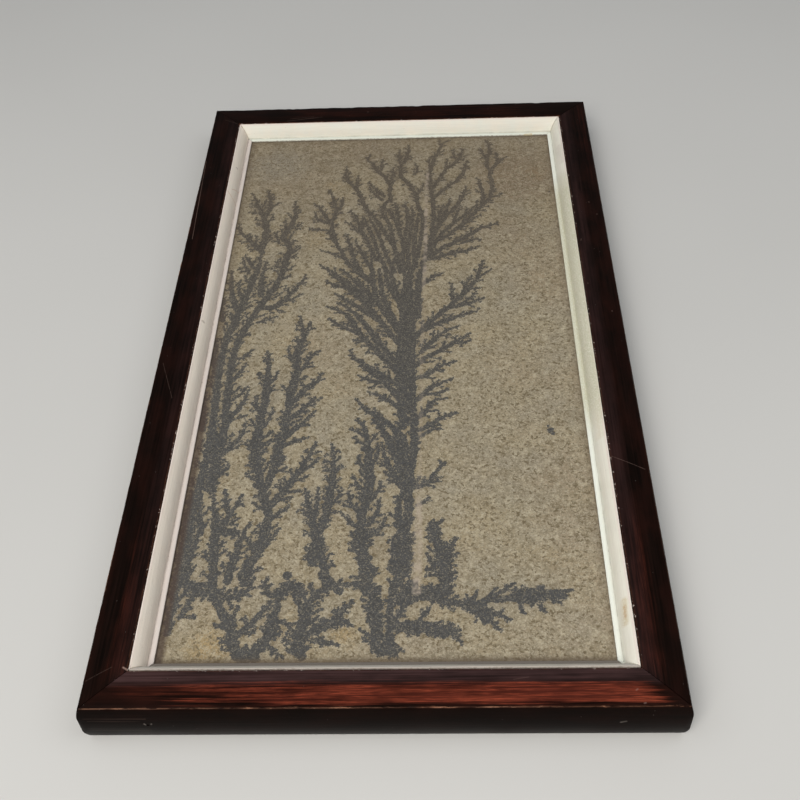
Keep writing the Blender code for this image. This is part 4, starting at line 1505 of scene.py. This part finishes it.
def blurred(values, reach):
    """The average of each value with those up to reach rows and columns away."""
    for axis in (0, 1):
        ends = [(reach + 1, reach) if i == axis else (0, 0) for i in (0, 1)]
        total = np.cumsum(np.pad(values, ends, mode="edge"), axis=axis)
        size = total.shape[axis]
        upper = np.take(total, range(2 * reach + 1, size), axis=axis)
        lower = np.take(total, range(size - 2 * reach - 1), axis=axis)
        values = (upper - lower) / (2 * reach + 1)
    return values


def make_slab():
    """The slab, with points close enough together to carry the outline of its ferns."""
    low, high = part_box("stone_slab")
    xs = graded(low.x + SLAB_INSET, high.x - SLAB_INSET, -WINDOW_X, FERN_EDGE_X, FINE_STEP, COARSE_STEP)
    ys = graded(low.y + SLAB_INSET, high.y - SLAB_INSET, -WINDOW_Y, WINDOW_Y, FINE_STEP, 4 * FINE_STEP)
    x, y = np.meshgrid(xs, ys)
    place = np.stack([x, y, 0 * x], axis=-1)
    swell = STONE_SWELL * noise_map(place, STONE_SWELL_SIZE, 3.0)
    grit = STONE_GRIT * noise_map(place, STONE_GRIT_SIZE, 9.0)
    visible = (np.abs(x) < WINDOW_X + HIDDEN_RIM) & (np.abs(y) < WINDOW_Y + HIDDEN_RIM)
    z = high.z - np.where(visible, swell + grit, 0)
    rows, columns = x.shape
    top = np.stack([x, y, z], axis=-1).reshape(-1, 3)
    rim = [(0, j) for j in range(columns)] + [(i, columns - 1) for i in range(1, rows)]
    rim += [(rows - 1, j) for j in range(columns - 2, -1, -1)] + [(i, 0) for i in range(rows - 2, 0, -1)]
    rim = [i * columns + j for i, j in rim]
    bottom = top[rim] * (1, 1, 0) + (0, 0, low.z)
    faces = []
    for i in range(rows - 1):
        for j in range(columns - 1):
            corner = i * columns + j
            faces.append((corner, corner + 1, corner + columns + 1, corner + columns))
    first = len(top)
    for k in range(len(rim)):
        following = (k + 1) % len(rim)
        faces.append((rim[k], first + k, first + following, rim[following]))
    faces.append(tuple(reversed(range(first, first + len(rim)))))
    points = np.concatenate([top, bottom])
    mesh = bpy.data.meshes.new("slab")
    mesh.from_pydata(points.tolist(), [], faces)
    keep_vector(mesh, "local", points)
    outline = fern_outline(grow_ferns(), xs / MM, ys / MM)
    thicket = blurred((outline < 0).astype(float), THICKET_REACH)
    keep_number(mesh, "fern", np.append(outline.ravel(), np.full(len(bottom), FERN_REACH)))
    keep_number(mesh, "thicket", np.append(thicket.ravel(), np.zeros(len(bottom))))
    keep_number(mesh, "vein", vein_distance(points[:, 0], points[:, 1]))
    mesh.shade_smooth()
    mesh.set_sharp_from_angle(angle=STONE_SHARP_OVER)
    dress(add_object("slab", mesh, dendrite_stone()), "dendrite_stone", "stone_slab")


def dress_backing():
    """The board and the brads keep their plain solids, with finer finishes."""
    board_finish = hardboard()
    steel_finish = dull_steel()
    for name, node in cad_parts.items():
        if name == "backing_board":
            node.data.materials.clear()
            node.data.materials.append(board_finish)
        elif name.startswith("brad_"):
            node.data.materials.clear()
            node.data.materials.append(steel_finish)


def make_camera():
    """The photo's camera, with its axes squared up."""
    right = Vector(CAMERA_RIGHT).normalized()
    back = right.cross(Vector(CAMERA_UP)).normalized()
    up = back.cross(right)
    turn = Matrix((right, up, back)).transposed().to_4x4()
    camera = bpy.data.cameras.new("camera")
    camera.sensor_width = SENSOR
    camera.lens = SENSOR * FOCAL_LENGTH / PHOTO_SIDE
    camera.clip_start = 0.01
    obj = bpy.data.objects.new("camera", camera)
    obj.matrix_world = Matrix.Translation(CAMERA_PLACE) @ turn
    bpy.context.scene.collection.objects.link(obj)
    bpy.context.scene.camera = obj


def add_softbox(name, place, size, power, colour):
    """A square area light that faces the middle of the slab."""
    light = bpy.data.lights.new(name, "AREA")
    light.size = size
    light.energy = power
    light.color = colour
    obj = bpy.data.objects.new(name, light)
    obj.location = place
    obj.rotation_euler = (-Vector(place)).to_track_quat("-Z", "Y").to_euler()
    bpy.context.scene.collection.objects.link(obj)


def make_studio():
    """A plain pale floor, soft lights and an even sky."""
    bm = bmesh.new()
    bmesh.ops.create_grid(bm, x_segments=1, y_segments=1, size=FLOOR_HALF)
    mesh = bpy.data.meshes.new("floor")
    bm.to_mesh(mesh)
    bm.free()
    add_object("floor", mesh, pale_floor())
    for softbox in SOFTBOXES:
        add_softbox(*softbox)
    world = bpy.data.worlds.new("studio")
    world.use_nodes = True
    background = world.node_tree.nodes["Background"]
    background.inputs["Color"].default_value = WORLD_COLOUR
    background.inputs["Strength"].default_value = WORLD_STRENGTH
    bpy.context.scene.world = world
    bpy.context.scene.view_settings.view_transform = "Standard"


make_camera()
make_studio()
make_rails()
make_slips()
make_slab()
dress_backing()
